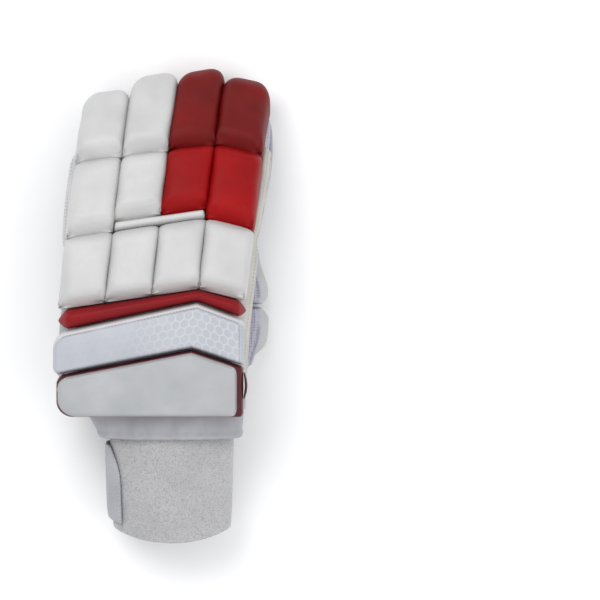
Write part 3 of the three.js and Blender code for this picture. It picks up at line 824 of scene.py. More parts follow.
def comb_relief(x, along, above_low, below_high):
    from_wall = honeycomb(x + 1.1, along - 1.38 * chevron(x - peak_x(132)), CELL)
    inside = smooth(below_high, WELT, WELT + 1.2) * smooth(comb.right - x, 2.8, 4.2)
    fade = (0.10 + 0.75 * smooth(x, -30, 26)) * inside
    wall = (1 - smooth(from_wall, WALL_WIDTH * 0.4, WALL_WIDTH * 1.3)) * fade
    comb_walls["value"] = wall
    comb_walls["welt"] = smooth(-below_high, -WELT + 0.1, -WELT + 0.7) * smooth(above_low, 3.0, 4.0)
    groove = np.exp(-((below_high - WELT) / 0.7) ** 2) + np.exp(-((comb.right - x - 3) / 0.7) ** 2)
    return 0.2 * wall - 0.55 * np.minimum(groove, 1) + 0.3 * ripple(x, along, 61, 26)


comb_obj, comb_u, comb_v = net("cross_pad", 280, 84)
comb_x, comb_along, comb_height = comb.points(comb_u, comb_v, comb_relief)
write_points(comb_obj, curl(comb_x, comb_along, comb_height))
write_pattern(comb_obj, comb_x, comb_along)
write_value(comb_obj, "cell_walls", comb_walls["value"])
write_value(comb_obj, "welt", comb_walls["welt"])
close_under(comb_obj)
finish(comb_obj, honeycomb_leather, "hex_pad", "cross_pad", fill=0.8)


def comb_line(x, from_high=None, along=None):
    if along is None:
        along = comb.edges(x)[1] - from_high
    return surface_line(lambda a, b: curl(a, b, comb.surface(a, b) - 0.35), x, along)


comb_top_x = np.linspace(comb.left + 6, comb.right - 3.2, 240)
comb_side = np.full(60, comb.right - 3.0)
side_start, side_end = comb.edges(comb_side[:1])
print("honeycomb cells of", CELL, "mm")
side_line = comb_line(comb_side, along=np.linspace(side_start[0] + 2, side_end[0] - 4, 60))
stitches("cross_pad_stitches", [comb_line(comb_top_x, WELT), side_line],
         grey_thread, "hex_pad", pitch=2.0)

# %% [markdown]
# The cuff pad is a white face over a burgundy side wall; its white leather is darkened with painted shade.
# The wall shows as a line round the face, wider on the thumb side, where it folds. Fine white whip stitches
# hold the face to it.

# %% The cuff pad and its wall
CUFF_LEFT, CUFF_RIGHT = peak_x(CUFF_ROW) + ULNAR_EDGE + 7.6, peak_x(CUFF_ROW) + RADIAL_EDGE + 6.8
gusset = CrossPad(CUFF_LEFT - 0.3, CUFF_RIGHT + 0.8, (CUFF_ROW, 0), (CROSS_PAD_ROW - ROW_GAP, 1.33),
                  base=-2.5, top=12.0, bevel=1.6, radii=(10, 2.5, 2.0, 5), crown=0.2)
FACE_INSET, FACE_INSET_RIGHT = 1.0, 3.9
face = CrossPad(CUFF_LEFT + 0.6, CUFF_RIGHT + 0.8 - FACE_INSET_RIGHT, (CUFF_ROW + 0.8, 0),
                (CROSS_PAD_ROW - ROW_GAP - FACE_INSET - 0.6, 1.33),
                base=8.0, top=15.0, bevel=2.2, radii=(10, 2.6, 2.2, 5), crown=0.9)


def face_relief(x, along, above_low, below_high):
    edge = np.minimum(np.minimum(above_low, below_high), np.minimum(x - face.left, face.right - x))
    broad = 0.5 * ripple(x, along, 71, 40) * smooth(edge, 2, 9)
    return broad + 0.25 * ripple(x, along, 72, 14) * smooth(edge, 1, 4)


for pad_name, shape, cut, relief, material, slot in (
        ("cuff_gusset", gusset, (150, 44), lambda x, y, a, b: 0.06 * ripple(x, y, 73, 16),
         burgundy_leather, "burgundy_leather"),
        ("cuff_pad", face, (180, 66), face_relief, cuff_leather_painted_shade, "white_leather")):
    pad_obj, pad_u, pad_v = net(pad_name, *cut)
    pad_x, pad_along, pad_height = shape.points(pad_u, pad_v, relief)
    write_points(pad_obj, curl(pad_x, pad_along, pad_height))
    write_pattern(pad_obj, pad_x, pad_along)
    close_under(pad_obj)
    finish(pad_obj, material, slot, pad_name, fill=0.8)
    print(pad_name, round(shape.right - shape.left), "mm wide")


def face_border(inset):
    """A line round the face, inside its outline by inset."""
    x = np.concatenate([np.linspace(face.left + 10, face.right - 3, 160),
                        np.full(60, face.right - inset),
                        np.linspace(face.right - 3, face.left + 5, 160),
                        np.full(40, face.left + inset)])
    start, end = face.edges(np.clip(x, face.left + inset, face.right - inset))
    along = np.concatenate([start[:160] + inset, np.linspace(start[170] + 2, end[170] - 2, 60),
                            end[220:380] - inset, np.linspace(end[-20] - 4, start[-20] + 9, 40)])
    return surface_line(lambda a, b: curl(a, b, face.top - 1.5 + 0 * a), x, along)


stitches("cuff_whip_stitches", [face_border(0.2)], white_thread, "white_leather",
         length=1.1, pitch=1.2, thick=0.38, lift=-0.05, turn=1.2)

# %% [markdown]
# On the thumb side the wall is folded over on itself. The fold is a flat tube that swells in the
# middle and closes at both ends.

# %% Fold on the cuff's wall
fold, fold_turn, fold_run = net("cuff_fold", 20, 40)
fold_full = np.sin(math.pi * np.clip(fold_run, 0.001, 0.999))
fold_x = CUFF_RIGHT + 1.2 + 1.3 * fold_full + 0.8 * fold_full ** 0.3 * np.cos(math.tau * fold_turn)
fold_side = np.sin(math.tau * fold_turn)
fold_side = np.sign(fold_side) * np.abs(fold_side) ** 0.5
write_points(fold, curl(fold_x, mix(CUFF_ROW + 11, CUFF_ROW + 27, fold_run),
                        4.6 + 6.0 * fold_full ** 0.22 * fold_side))
merge(fold)
close_under(fold)
finish(fold, burgundy_leather, "burgundy_leather")
print("fold:", len(fold.data.vertices), "points")

# %% [markdown]
# ## The leather body
# Under the pads the glove is one thin skin: a white back, a pale blue palm, four finger stalls and a
# thumb. Each is a grid rolled round the hand's section, thickened like leather, and then creased.

# %% Sections of the hand
PALM_WIDTH, HAND_DEPTH, BAND_LENGTH = 112.0, 32.0, 64.0
STALL_WIDTH, STALL_DEPTH, STALL_FLARE = 25.4, 23.0, 2.5
HAND_SQUARE, STALL_SQUARE = 3.2, 2.7
LEATHER = 1.4


def smooth_table(rows, spread=0.07):
    """Columns of a table as smooth curves of its first column."""
    rows = np.array(rows, float)
    fine = np.linspace(rows[0, 0], rows[-1, 0], 401)
    reach = max(3, int(spread * 400))
    kernel = np.hanning(2 * reach + 1)
    kernel /= kernel.sum()
    curves = []
    for column in rows.T[1:]:
        line = np.pad(np.interp(fine, rows[:, 0], column), reach, mode="reflect", reflect_type="odd")
        curves.append(np.convolve(line, kernel, "valid"))
    return lambda at: [np.interp(at, fine, curve) for curve in curves]


def ring(share, power, half_wide, half_high):
    """Points of a rounded box section, evenly spaced from its right side over the top."""
    turn = np.linspace(0, math.tau, 4001)
    wide = np.sign(np.cos(turn)) * np.abs(np.cos(turn)) ** (2 / power)
    high = np.sign(np.sin(turn)) * np.abs(np.sin(turn)) ** (2 / power)
    step = np.hypot(np.diff(wide) * half_wide, np.diff(high) * half_high)
    run = np.concatenate([[0], np.cumsum(step)])
    at = np.mod(share, 1) * run[-1]
    return np.interp(at, run, wide), np.interp(at, run, high)


hand_table = smooth_table([
    (0.0, 0.235, 0.505, 1.3), (0.11, 0.3, 0.512, 1.28), (0.22, 0.42, 0.508, 1.2), (0.36, 0.475, 0.51, 1.08),
    (0.55, 0.487, 0.515, 0.98), (0.75, 0.48, 0.53, 0.92), (0.95, 0.465, 0.545, 0.85),
    (1.0, 0.45, 0.535, 0.75)])


def hand_share(row):
    """How far a row lies on the way from the hem to the webs."""
    return (row - BAND_LENGTH) / (WEB_ROW - BAND_LENGTH)


def hand_sides(row, share):
    """Both edges of the hand at a row, and half its depth."""
    ulnar, radial, depth = hand_table(share)
    axis = LEAN * (row - KNUCKLE_ROW)
    return axis * 0.5 - ulnar * PALM_WIDTH, axis * 0.3 + radial * PALM_WIDTH, depth * HAND_DEPTH / 2


def rise(x, row, share):
    """The chevron of the rows, which the hand takes up gradually."""
    return chevron(x - peak_x(row)) * np.clip(share, 0, 1) ** 2


def hand_flat(round_share, share, grow):
    """Flat place of a point of the hand's skin: round it from 0 to 1, and from the hem to the webs."""
    wide, high = ring(round_share, HAND_SQUARE, 56, 17)
    row = BAND_LENGTH + share * (WEB_ROW - BAND_LENGTH)
    left, right, half = hand_sides(row, share)
    x = (left + right) / 2 + wide * ((right - left) / 2 + grow)
    return x, row + rise(x, row, share), -half + high * (half + grow)


print("the hand is", np.round(np.subtract(*hand_sides(KNUCKLE_ROW, 0.7)[1::-1])), "mm wide at the knuckles")

# %% [markdown]
# A piece of leather is cut flat and then mapped. Solidify gives it a thickness, which a single layer of
# faces would not have at its edges.

# %% Cut pieces
def point_out(obj):
    """Turns the faces of a curved sheet so that they face away from its middle."""
    centres, normals = (np.array([getattr(part, what) for part in obj.data.polygons])
                        for what in ("center", "normal"))
    if ((centres - centres.mean(0)) * normals).sum() < 0:
        edit(obj, (bpy.ops.mesh.flip_normals, {}))


def thicken(obj, thickness):
    """A wall under the surface, closed at its edges."""
    only(obj)
    solid = obj.modifiers.new("wall", "SOLIDIFY")
    solid.thickness = thickness * MM
    solid.offset = -1
    bpy.ops.object.modifier_apply(modifier=solid.name)


def skin(name, columns, rows, place, material, slot, thickness=LEATHER, pattern=None, wrap=False):
    """A cut piece mapped by place(u, v), merged, faced outwards and thickened."""
    obj, u, v = net(name, columns, rows)
    write_points(obj, place(u, v))
    middle = np.stack([place(np.linspace(0, 1, 200), np.full(200, at)) for at in (0.3, 0.5, 0.7)])
    if pattern is not None:
        write_pattern(obj, *pattern(u, v))
    if wrap:
        merge(obj)
    point_out(obj)
    thicken(obj, thickness)
    finish(obj, material, slot, name)
    return obj


# %% [markdown]
# The back panel shows as the wrist skirt below the cuff: soft white leather that gathers where the towelling
# is sewn in, with a turned hem. Its leather is darkened with painted shade, the shade below the cuff. Above
# the cuff it is a narrow margin beside the pads.

# %% Back panel
SEAM_SHARE = 0.045


def back_place(u, v):
    round_share = mix(-SEAM_SHARE, 0.5 + SEAM_SHARE, u)
    hem = np.exp(-((v * 128 - 1.6) / 1.7) ** 2) - 0.6 * np.exp(-((v * 128 - 4.4) / 0.8) ** 2)
    x, along, height = hand_flat(round_share, v, 0.25 + 0.7 * hem)
    gather = np.exp(-((along - BAND_LENGTH - 4) / 9) ** 2)
    folds = 0.75 * np.sin(x * 0.33 + 1.3 * np.sin(x * 0.09)) + 0.5 * np.sin(x * 0.71 + along * 0.12)
    height = height + gather * folds * 0.85 + 0.25 * ripple(x, along, 81, 20)
    return curl(x, along, height)


# the back panel's white leather is darkened with painted shade
skin("back_panel", 130, 96, back_place, back_leather_painted_shade, "white_leather")

# %% [markdown]
# The palm is creased where the hand folds, and hollow in the middle. Beyond a curved seam round the
# base of the thumb lies a softer, wrinkled panel, a little lighter than the rest.

# %% Palm
THUMB_BASE = [(34, 166), (27, 160), (15, 146), (8, 130), (7, 112), (12, 96), (22, 84), (34, 76)]


def past_thumb_seam(x, y):
    """Distance beyond the curved seam round the base of the thumb, in the plan of the palm."""
    rows = np.array(THUMB_BASE[::-1], float)
    seam = np.interp(y, rows[:, 1], rows[:, 0])
    return np.where((y > rows[0, 1]) & (y < rows[-1, 1]), x - seam, -9.0)


def palm_relief(x, along):
    """How far creases and the hollow of the palm draw the hide in."""
    line = along - 152 - 0.3 * (x + 10) - 3 * np.sin(x * 0.05)
    crease = 1.3 * np.exp(-(line / 3.2) ** 2) * smooth(x, -46, -20) * smooth(-x, -34, -10)
    heel = 0.9 * np.exp(-((along - 112 + 0.25 * x) / 5) ** 2) * smooth(x, -20, 0)
    cup = 3.0 * np.exp(-((x - 4) / 26) ** 2 - ((along - 132) / 34) ** 2)
    step = 0.7 * smooth(past_thumb_seam(x, along - 10), 2.6, 3.6)
    crinkle = 0.28 * smooth(past_thumb_seam(x, along - 10), 3.2, 6) * ripple(x, along, 84, 5)
    uneven = 0.45 * ripple(x, along, 82, 26) + 0.18 * ripple(x, along, 83, 11)
    return crease + heel + cup + step + crinkle + uneven


def palm_place(u, v):
    x, along, height = hand_flat(mix(0.5 + SEAM_SHARE, 1 - SEAM_SHARE, u), v, 0)
    tuck = 2.3 * smooth(v, 0.93, 1)
    return curl(x, along, height + palm_relief(x, along) + tuck)


palm_leather = leather("palm_leather", (0.375, 0.415, 0.445), 0.66, grain=0.00006,
                       tint=(0.315, 0.352, 0.385))
tab_leather = leather("tab_leather", (0.44, 0.465, 0.48), 0.55, grain=0.00006, tint=(0.38, 0.405, 0.425))
palm_tree = palm_leather.node_tree
palm_colour = palm_tree.nodes["Principled BSDF"].inputs["Base Color"].links[0].from_socket
dress(palm_tree, Base_Color=blend(palm_tree, written(palm_tree, "inner_panel"), palm_colour,
                                  (0.40, 0.412, 0.425)))
palm_obj = skin("palm_leather", 130, 136, palm_place, palm_leather, "palm_leather")
palm_points = read_points(palm_obj) / MM - SHIFT
write_value(palm_obj, "inner_panel", smooth(past_thumb_seam(palm_points[:, 0], palm_points[:, 1]), 2.7, 3.3))

# %% [markdown]
# A finger stall is a closed sleeve that tapers to the fingertip. Its palm side is hide, its sides are
# lavender mesh. The outer two stand out from under their rolls.

# %% Finger stalls
CAP_LENGTH, STALL_ROOT = 8.0, WEB_ROW - 6
stall_table = smooth_table([(0.0, 0.94, 0.9), (0.14, 1.0, 1.0), (0.38, 1.0, 0.99), (0.62, 0.99, 0.97),
                            (0.87, 0.97, 0.93), (1.0, 0.9, 0.85)], 0.05)


def swell(finger, share):
    """How far the outer side of the first and last finger stands out."""
    return finger["flare"] * 1.9 * np.sin(math.pi * np.clip((share - 0.1) / 0.85, 0, 1)) ** 0.8


def stall_middle(finger):
    return finger_middle(finger) + finger["flare"] * STALL_FLARE


def stall_length(finger):
    return tip_end(finger) - CAP_LENGTH - STALL_ROOT


def stall_flat(finger, u, v):
    """Flat place round a stall (u) and from the web to its tip (v)."""
    wide, high = ring(u, STALL_SQUARE, 12.7, 11.5)
    width, depth = stall_table(v)
    closing = np.sqrt(np.maximum(1 - np.clip((v - 0.88) / 0.12, 0, 1) ** 2.2, 0))
    across = stall_middle(finger) + wide * width * STALL_WIDTH / 2 * closing
    across = across + swell(finger, v) * (wide * finger["flare"] > 0) * np.abs(wide)
    row = STALL_ROOT + v * stall_length(finger)
    return across, row, STALL_DEPTH / 2 * (high * depth * closing - 1)


def mesh_finish():
    """Lavender knitted mesh with rows of small holes."""
    material, tree, shader = new_material("lavender_mesh", (0.50, 0.48, 0.58), 0.8)
    hole, spots = mesh_holes(tree)
    cloth = cloudy(tree, noise(tree, 60, 4), (0.34, 0.335, 0.395), (0.44, 0.435, 0.49))
    shade = blend(tree, hole, cloth, (0.19, 0.17, 0.25))
    dress(tree, Base_Color=shade, Normal=bump(tree, spots, 0.0003, 0.8))
    shader.inputs["Sheen Weight"].default_value = 0.25
    return material


lavender_mesh = mesh_finish()


def stall_place(finger, seed):
    def place(u, v):
        across, row, height = stall_flat(finger, u, v)
        bow = 0.02 * (across - finger_middle(finger)) ** 2
        creases = sum(deep * np.exp(-((row - at - bow) / wide) ** 2) for at, deep, wide in
                      ((TIP_ROW - 3, 1.3, 2.6), (TIP_ROW + 4, 0.5, 1.6), (WEB_ROW + 18, 0.7, 2.8)))
        grip = 0.5 * smooth(row, TIP_ROW + 7.5, TIP_ROW + 8.3)
        under = smooth(-height, STALL_DEPTH * 0.5, STALL_DEPTH * 0.9)
        height = height + under * (creases - grip) + 0.25 * ripple(across, row, seed, 14)
        return on_row(across, row, height)
    return place


def paint_side(obj, material, chosen):
    """A second material on the faces for which chosen(normal, centre) is true."""
    obj.data.materials.append(material)
    for face_part in obj.data.polygons:
        if chosen(face_part.normal, face_part.center):
            face_part.material_index = 1


for seed, (finger_name, finger) in enumerate(FINGERS.items()):
    stall_obj = skin(f"stall_{finger_name}", 72, 78, stall_place(finger, 90 + seed), palm_leather,
                     "palm_leather", wrap=True)
    paint_side(stall_obj, lavender_mesh, lambda normal, centre: abs(normal.x) > 0.55)

# %% [markdown]
# ## Towelling wristband
# The wrist is a tube of cotton towelling: thousands of small loops that soften every edge. The loops
# are real relief in the net, and the finish paints shade into the low places and the gaps between them.

# %% Towelling
RIM_WIDTH, BAND_WIDTH, RIM_BOW = 71.0, 79.0, 7.0
BAND_END, BAND_MIDDLE = 73.0, 11.76
STRAP, BAND_TOP = 2.6, -3.0


def band_flat(u, v, grow=0.0):
    """Flat place round the wristband (u) and from its rim into the glove (v)."""
    wide, high = ring(u, 2.5, 37, 21)
    along = v * BAND_END
    width = mix(RIM_WIDTH, BAND_WIDTH - 3.6, np.clip(v, 0, 1) ** 0.6)
    _, back_z = path_at(along)
    back = back_z + BAND_TOP * np.cos(slope_at(along)) - 0.0011 * (BAND_MIDDLE - ARCH_CENTRE) ** 2
    rim_depth = (back - FLOOR + 1.0 - STRAP - 0.4) / np.cos(slope_at(along))
    hem_depth = 1.3 * HAND_DEPTH - 6.8
    depth = mix(rim_depth, hem_depth, smooth(v, 0.12, 0.88))
    x = BAND_MIDDLE + wide * (width / 2 + grow)
    bow = RIM_BOW * (1 - v) * wide ** 2
    return x, along + bow, BAND_TOP - depth / 2 + high * (depth / 2 + grow)


def towel_finish():
    """Lit loops, with painted shade in the low places among the clumps and in the gaps between the loops."""
    material, tree, shader = new_material("towelling", (0.56, 0.56, 0.58), 0.95)
    loops = cells(tree, "F1", 1250, Randomness=0.85)
    clumps = noise(tree, 520, 3, Roughness=0.6)
    lit = cloudy(tree, noise(tree, 40, 4), (0.39, 0.39, 0.40), (0.45, 0.45, 0.455))
    # painted shade: darker where the clumps dip
    lit = blend(tree, ramp(tree, clumps, 0.5, 0, 0.35, 0.6), lit, (0.33, 0.325, 0.335))
    # painted shade in the gaps between the loops
    shade = blend(tree, ramp(tree, loops, 0, 0.6, 0.45, 0.8), lit, (0.21, 0.205, 0.215))
    dress(tree, Base_Color=shade, Normal=bump(tree, clumps, 0.0005, 0.7, bump(tree, loops, -0.0004, 0.8)))
    shader.inputs["Sheen Weight"].default_value = 0.35
    shader.inputs["Sheen Roughness"].default_value = 0.6
    return material


towelling = towel_finish()
terry = np.random.default_rng(7)


def towel_place(u, v):
    x, along, height = band_flat(u, mix(0.004, 1, v), -0.2)
    loops = np.where(np.isclose(u, 0) | np.isclose(u, 1), 0, terry.normal(0, 1, u.shape))
    soft = 0.7 * np.sin(x * 0.11 + 1) * np.sin(along * 0.10 + 0.5) + 0.5 * ripple(x, along, 95, 30)
    out = np.sign(height - (BAND_TOP - 18))
    return curl(x, along, height + out * soft * 0.5 + out * 0.14 * loops)


skin("wristband", 240, 96, towel_place, towelling, "towelling", thickness=3.0, wrap=True)

# %% [markdown]
# The strap wraps round the little-finger side of the wrist, from a curved end on the back to a
# rounded end on the palm side. It has a fine diamond emboss and a stitch line round three sides.

# %% The strap
STRAP_START, STRAP_WIDTH = 7.0, 50.0


def strap_finish():
    """The emboss is the product of two sines that run slanting across the strap."""
    material, tree, shader = new_material("strap_white", (0.42, 0.425, 0.45), 0.45)
    pattern = tree.nodes.new("ShaderNodeUVMap").outputs["UV"]
    parts = node(tree, "ShaderNodeSeparateXYZ", None, Vector=pattern).outputs

    def sum_of(operation, *inputs):
        numbered = {f"n{k}": value for k, value in enumerate(inputs)}
        return node(tree, "ShaderNodeMath", {"operation": operation}, **numbered).outputs[0]

    width = sum_of("MULTIPLY", parts["X"], math.pi / 2.4)
    waves = [sum_of("SINE", sum_of("MULTIPLY_ADD", parts["Y"], slope, width))
             for slope in (math.pi / 1.9, -math.pi / 1.9)]
    relief = sum_of("ABSOLUTE", sum_of("MULTIPLY", *waves))
    plain = cloudy(tree, noise(tree, 50, 4), (0.37, 0.375, 0.405), (0.44, 0.445, 0.47))
    shade = blend(tree, ramp(tree, relief, 0.4, 0, 0.02, 0.3), plain, (0.28, 0.285, 0.325))
    dress(tree, Base_Color=shade, Normal=bump(tree, relief, 0.0005, 0.9))
    return material


strap_white = strap_finish()
around_wrist = np.linspace(0, 1, 2001)
band_x, _, band_height = band_flat(around_wrist, 0.4)
STRAP_FROM = around_wrist[np.argmax((band_x < -17.5) & (band_height > BAND_TOP - 15))]
STRAP_TO = around_wrist[len(band_x) - 1 - np.argmax(((band_x < 34.5) & (band_height < -20))[::-1])]


def strap_flat(run, side, grow):
    """run goes round the band from its end on the back to the one on the palm side."""
    u = mix(STRAP_FROM, STRAP_TO, run)
    return band_flat(u, (STRAP_START + side * STRAP_WIDTH) / BAND_END, grow)


def strap_place(u, v):
    lead = 1 - np.sqrt(np.maximum(1 - np.clip((np.abs(v - 0.5) - 0.22) / 0.28, 0, 1) ** 2, 0))
    bow = 0.10 * np.clip((v - 0.45) / 0.55, 0, 1) ** 2.5
    start, end = bow, 1 - 0.09 * lead
    run = mix(start, end, u)
    edge = np.minimum(rim(u, 12), rim(v, 8))
    x, along, height = strap_flat(run, v, 0.5 + STRAP * (0.75 + 0.25 * np.sqrt(np.clip(edge, 0, 1))))
    return curl(x, along, height + 0.15 * ripple(x, along, 96, 25))


skin("wrist_strap", 110, 60, strap_place, strap_white, "strap", thickness=1.8,
     pattern=lambda u, v: (u * 95, v * 50))


def line_on(place, u, v, centre):
    """Points and outward normals along a line of a piece mapped by place(u, v)."""
    at = place(u, v)
    du, dv = place(u + 0.002, v) - place(u - 0.002, v), place(u, v + 0.002) - place(u, v - 0.002)
    normal = unit(np.cross(du, dv))
    return at, normal * np.sign(((at - centre) * normal).sum(1))[:, None]


loop_u = np.concatenate([np.linspace(0.2, 0.965, 120), np.full(60, 0.965), np.linspace(0.965, 0.2, 120)])
loop_v = np.concatenate([np.full(120, 0.075), np.linspace(0.075, 0.925, 60), np.full(120, 0.925)])
stitches("wrist_strap_stitches", [line_on(strap_place, loop_u, loop_v, curl(BAND_MIDDLE, 32, -22))],
         grey_thread, "strap", length=1.5, pitch=2.4)

# %% [markdown]
# ## Edges of the hand
# Along both sides runs a sewn strip, beige on the thumb side. Below it the index finger has a ribbed
# elastic binding, which stands out furthest of all. Cords like this one are tubes with ribs.

# %% Cords
def cord(name, line, radius, material, slot, rib=0.0, pitch=1.1, sides=12, step=0.35):
    """A tube along points in metres, with ribs across it if rib is more than nothing."""
    run = run_of(line)
    count = max(4, int(run[-1] / (step * MM)))
    at = np.linspace(0, run[-1], count)
    line = points_at(at, run, line)
    way = unit(np.gradient(line, axis=0))
    side = unit(np.cross(way, [0.02, 0.03, 1.0]))
    up = np.cross(side, way)
    obj, u, v = net(name, sides, count - 1)
    index = np.rint(v * (count - 1)).astype(int)
    ends = np.sqrt(np.clip(np.minimum(at, run[-1] - at) / (radius * MM), 0.02, 1))[index]
    thick = radius * MM * ends * (1 + rib * np.cos(math.tau * at[index] / (pitch * MM)))
    turn = (math.tau * u)[:, None]
    out = np.cos(turn) * side[index] + np.sin(turn) * up[index]
    write_points(obj, line[index] + thick[:, None] * out)
    merge(obj)
    outward(obj)
    print(name, round(run[-1] / MM), "mm long")
    return finish(obj, material, slot)


def bulge(share, power):
    return (1 - np.abs(np.clip(share, -1, 1)) ** power) ** (1 / power)


print("half way out, a rounded section still has", round(bulge(0.5, STALL_SQUARE), 2), "of its height")

# %% [markdown]
# The strips follow the outside of the hand and then of the outer finger. One function gives that
# outside for both, and passes smoothly from the one to the other at the webs.

# %% Side strips
def side_point(side, row, height, grow):
    """The outside of the glove on the thumb side (1) or the little-finger side (-1)."""
    row, height = np.broadcast_arrays(np.asarray(row, float), np.asarray(height, float))
    share = hand_share(row)
    left, right, half = hand_sides(row, np.clip(share, 0, 1))
    x = (left + right) / 2 + side * (bulge((height + half) / half, HAND_SQUARE) * (right - left) / 2 + grow)
    hand = curl(x, row + rise(x, row, share), height)
    finger = FINGERS["index" if side > 0 else "little"]
    share = (row - STALL_ROOT) / stall_length(finger)
    width, depth = stall_table(np.clip(share, 0, 1))
    half = depth * STALL_DEPTH / 2
    out = bulge((height + STALL_DEPTH / 2) / half, STALL_SQUARE) * width * STALL_WIDTH / 2 + grow
    out = out + np.abs(swell(finger, share))
    stall = on_row(stall_middle(finger) + side * out, row, height)
    return mix(hand, stall, smooth(row, WEB_ROW - 12, WEB_ROW + 8)[..., None])


def side_normal(side, row, height, grow):
    along = side_point(side, row + 0.5, height, grow) - side_point(side, row - 0.5, height, grow)
    down = side_point(side, row, height - 0.5, grow) - side_point(side, row, height + 0.5, grow)
    return side * np.cross(down, along)


def side_strip(name, side, low, high, material, slot, seed):
    def place(u, v):
        row, height = mix(low, high, v), mix(-2.9, -11.9, u)
        lip = np.sqrt(np.clip(rim(u, 12), 0, 1))
        grow = 0.35 + 1.2 * lip + 0.2 * ripple(row, height * 3, seed, 20)
        return side_point(side, row, height, grow)
    skin(name, 12, 230, place, material, slot, thickness=0.9)
    rows = np.linspace(low + 2, high - 2, 400)
    lines = [(side_point(side, rows, h, 1.5), side_normal(side, rows, h, 1.5)) for h in (-4.3, -8.6)]
    stitches(name + "_stitches", lines, tan_thread if side > 0 else grey_thread, slot, 1.5, 2.3, 0.5)


tan_leather = leather("tan_strip", (0.53, 0.515, 0.475), 0.6, grain=0.00007, wear=0.15)
side_strip("side_strip_index", 1, CUFF_ROW + 0.4, TIP_ROW + 12, tan_leather, "tan_strip", 61)
side_strip("side_strip_little", -1, KNUCKLE_ROW + 0.4, TIP_ROW + 12, white_leather, "white_leather", 62)


def elastic_finish():
    material, tree, shader = new_material("elastic", (0.56, 0.55, 0.62), 0.75)
    weave = noise(tree, 1300)
    shade = cloudy(tree, noise(tree, 70, 4), (0.38, 0.375, 0.425), (0.48, 0.475, 0.51))
    shade = blend(tree, ramp(tree, weave, 0.6, 0), shade, (0.29, 0.28, 0.345))
    dress(tree, Base_Color=shade, Normal=bump(tree, weave, 0.0001, 0.8))
    return material


elastic = elastic_finish()
piping_rows = np.linspace(CUFF_ROW + 4, TIP_ROW + 10, 300)
cord("side_piping", side_point(1, piping_rows, -12.9, 1.1), 0.9, white_leather, "white_leather")
binding_rows = np.linspace(WEB_ROW + 14, TIP_ROW + 38, 240)
binding_bow = -1.4 + 2.6 * np.sin(np.linspace(0, math.pi, 240)) ** 0.6
cord("side_binding", side_point(1, binding_rows, -14.6, binding_bow), 1.4, elastic, "lavender_mesh",
     rib=0.09)

# %% [markdown]
# ## The thumb
# The thumb lies straight along the side of the hand. Two moulded pads cover its outer face: a rounded
# side, a crisp crease and a flat top, gathered into small pleats where the tip is sewn in. A mesh
# gusset and a ribbed binding join pads and leather.

# %% Thumb
THUMB_LENGTH, THUMB_WIDTH, THUMB_DEPTH, THUMB_OUT = 114.0, 29.0, 20.5, 46.0
THUMB_ROOT = curl(0, 94, 0)[1] / MM - SHIFT[1]
THUMB_PAD_HEIGHT, THUMB_PAD_DEPTH = 10.0, 29.0
thumb_table = smooth_table([
    (0.0, 0.84, 1.35, 0.9, 0.8), (0.14, 0.93, 0.62, 1.1, 1.1), (0.27, 0.98, 0.2, 1.06, 1.08),
    (0.38, 1.0, 0.0, 1.0, 1.0), (0.72, 0.97, 0.0, 0.97, 0.98), (0.9, 0.92, 0.0, 0.9, 0.95),
    (1.0, 0.88, 0.0, 0.86, 0.9)], 0.04)


def thumb_out(share):
    """Middle line of the thumb, which bends in under the index finger towards its tip."""
    return thumb_table(share)[0] * THUMB_OUT - 4.5 * smooth(share, 0.52, 0.70) - 1.5 * smooth(share, 0.7, 1)


def straight(x, y, z):
    """Points of the pattern that aren't curled, in metres."""
    x, y, z = np.broadcast_arrays(*(np.asarray(v, float) for v in (x, y, z)))
    return (np.stack([x, y, np.maximum(z, FLOOR)], axis=-1) + SHIFT) * MM


def thumb_place(u, v):
    wide, high = ring(u, STALL_SQUARE, 14.5, 10.25)
    _, lift, width, depth = thumb_table(v)
    closing = np.sqrt(np.maximum(1 - np.clip((v - 0.86) / 0.14, 0, 1) ** 2.2, 0))
    x = thumb_out(v) + wide * width * THUMB_WIDTH / 2 * closing
    half = depth * THUMB_DEPTH / 2
    crease = 0.8 * np.exp(-((v - 0.62 - 0.03 * wide) / 0.02) ** 2)
    crease = crease + 0.5 * np.exp(-((v - 0.42) / 0.03) ** 2)
    z = FLOOR + 0.4 + (0.5 + lift) * THUMB_DEPTH + high * (half - crease) * closing
    z = z + 0.25 * ripple(x, v * THUMB_LENGTH, 71, 16) * (high > 0)
    return straight(x, THUMB_ROOT + v * THUMB_LENGTH, z)


thumb_obj = skin("thumb_stall", 74, 96, thumb_place, palm_leather, "palm_leather", wrap=True)
thumb_centre = (46 + SHIFT[0]) * MM
paint_side(thumb_obj, lavender_mesh, lambda normal, centre: centre.x > thumb_centre - 0.001 and
           abs(normal.z) > 0.3 and centre.y > -0.04)

# %% [markdown]
# The pads are cushions again. A rounded side, a flat top and two sloping ends are four surfaces, and
# the lowest of them, with a crisp crease between, is the shape of the moulded foam.

# %% Thumb pads
PAD_SEAM, PAD_JOINT = 11.5, (0.35, 3.0, 3.5)


def pad_base(share):
    """Where the pads sit on the thumb, across the hand."""
    return thumb_out(share) + 7.2 - 3.0 * smooth(share, 0.7, 0.95) - 3.0 * smooth(-share, -0.3, -0.1)


def pad_finish():
    """Coated leather over moulded foam, with mesh where the attribute mesh_side says so."""
    material = leather("thumb_pad_leather", (0.44, 0.445, 0.455), 0.42, grain=0.00005,
                       tint=(0.375, 0.38, 0.395))
    tree = material.node_tree
    hide_colour = tree.nodes["Principled BSDF"].inputs["Base Color"].links[0].from_socket
    mesh_colour = blend(tree, mesh_holes(tree)[0], (0.38, 0.375, 0.44), (0.19, 0.17, 0.25))
    dress(tree, Base_Color=blend(tree, written(tree, "mesh_side"), hide_colour, mesh_colour))
    return material


thumb_pad_leather = pad_finish()


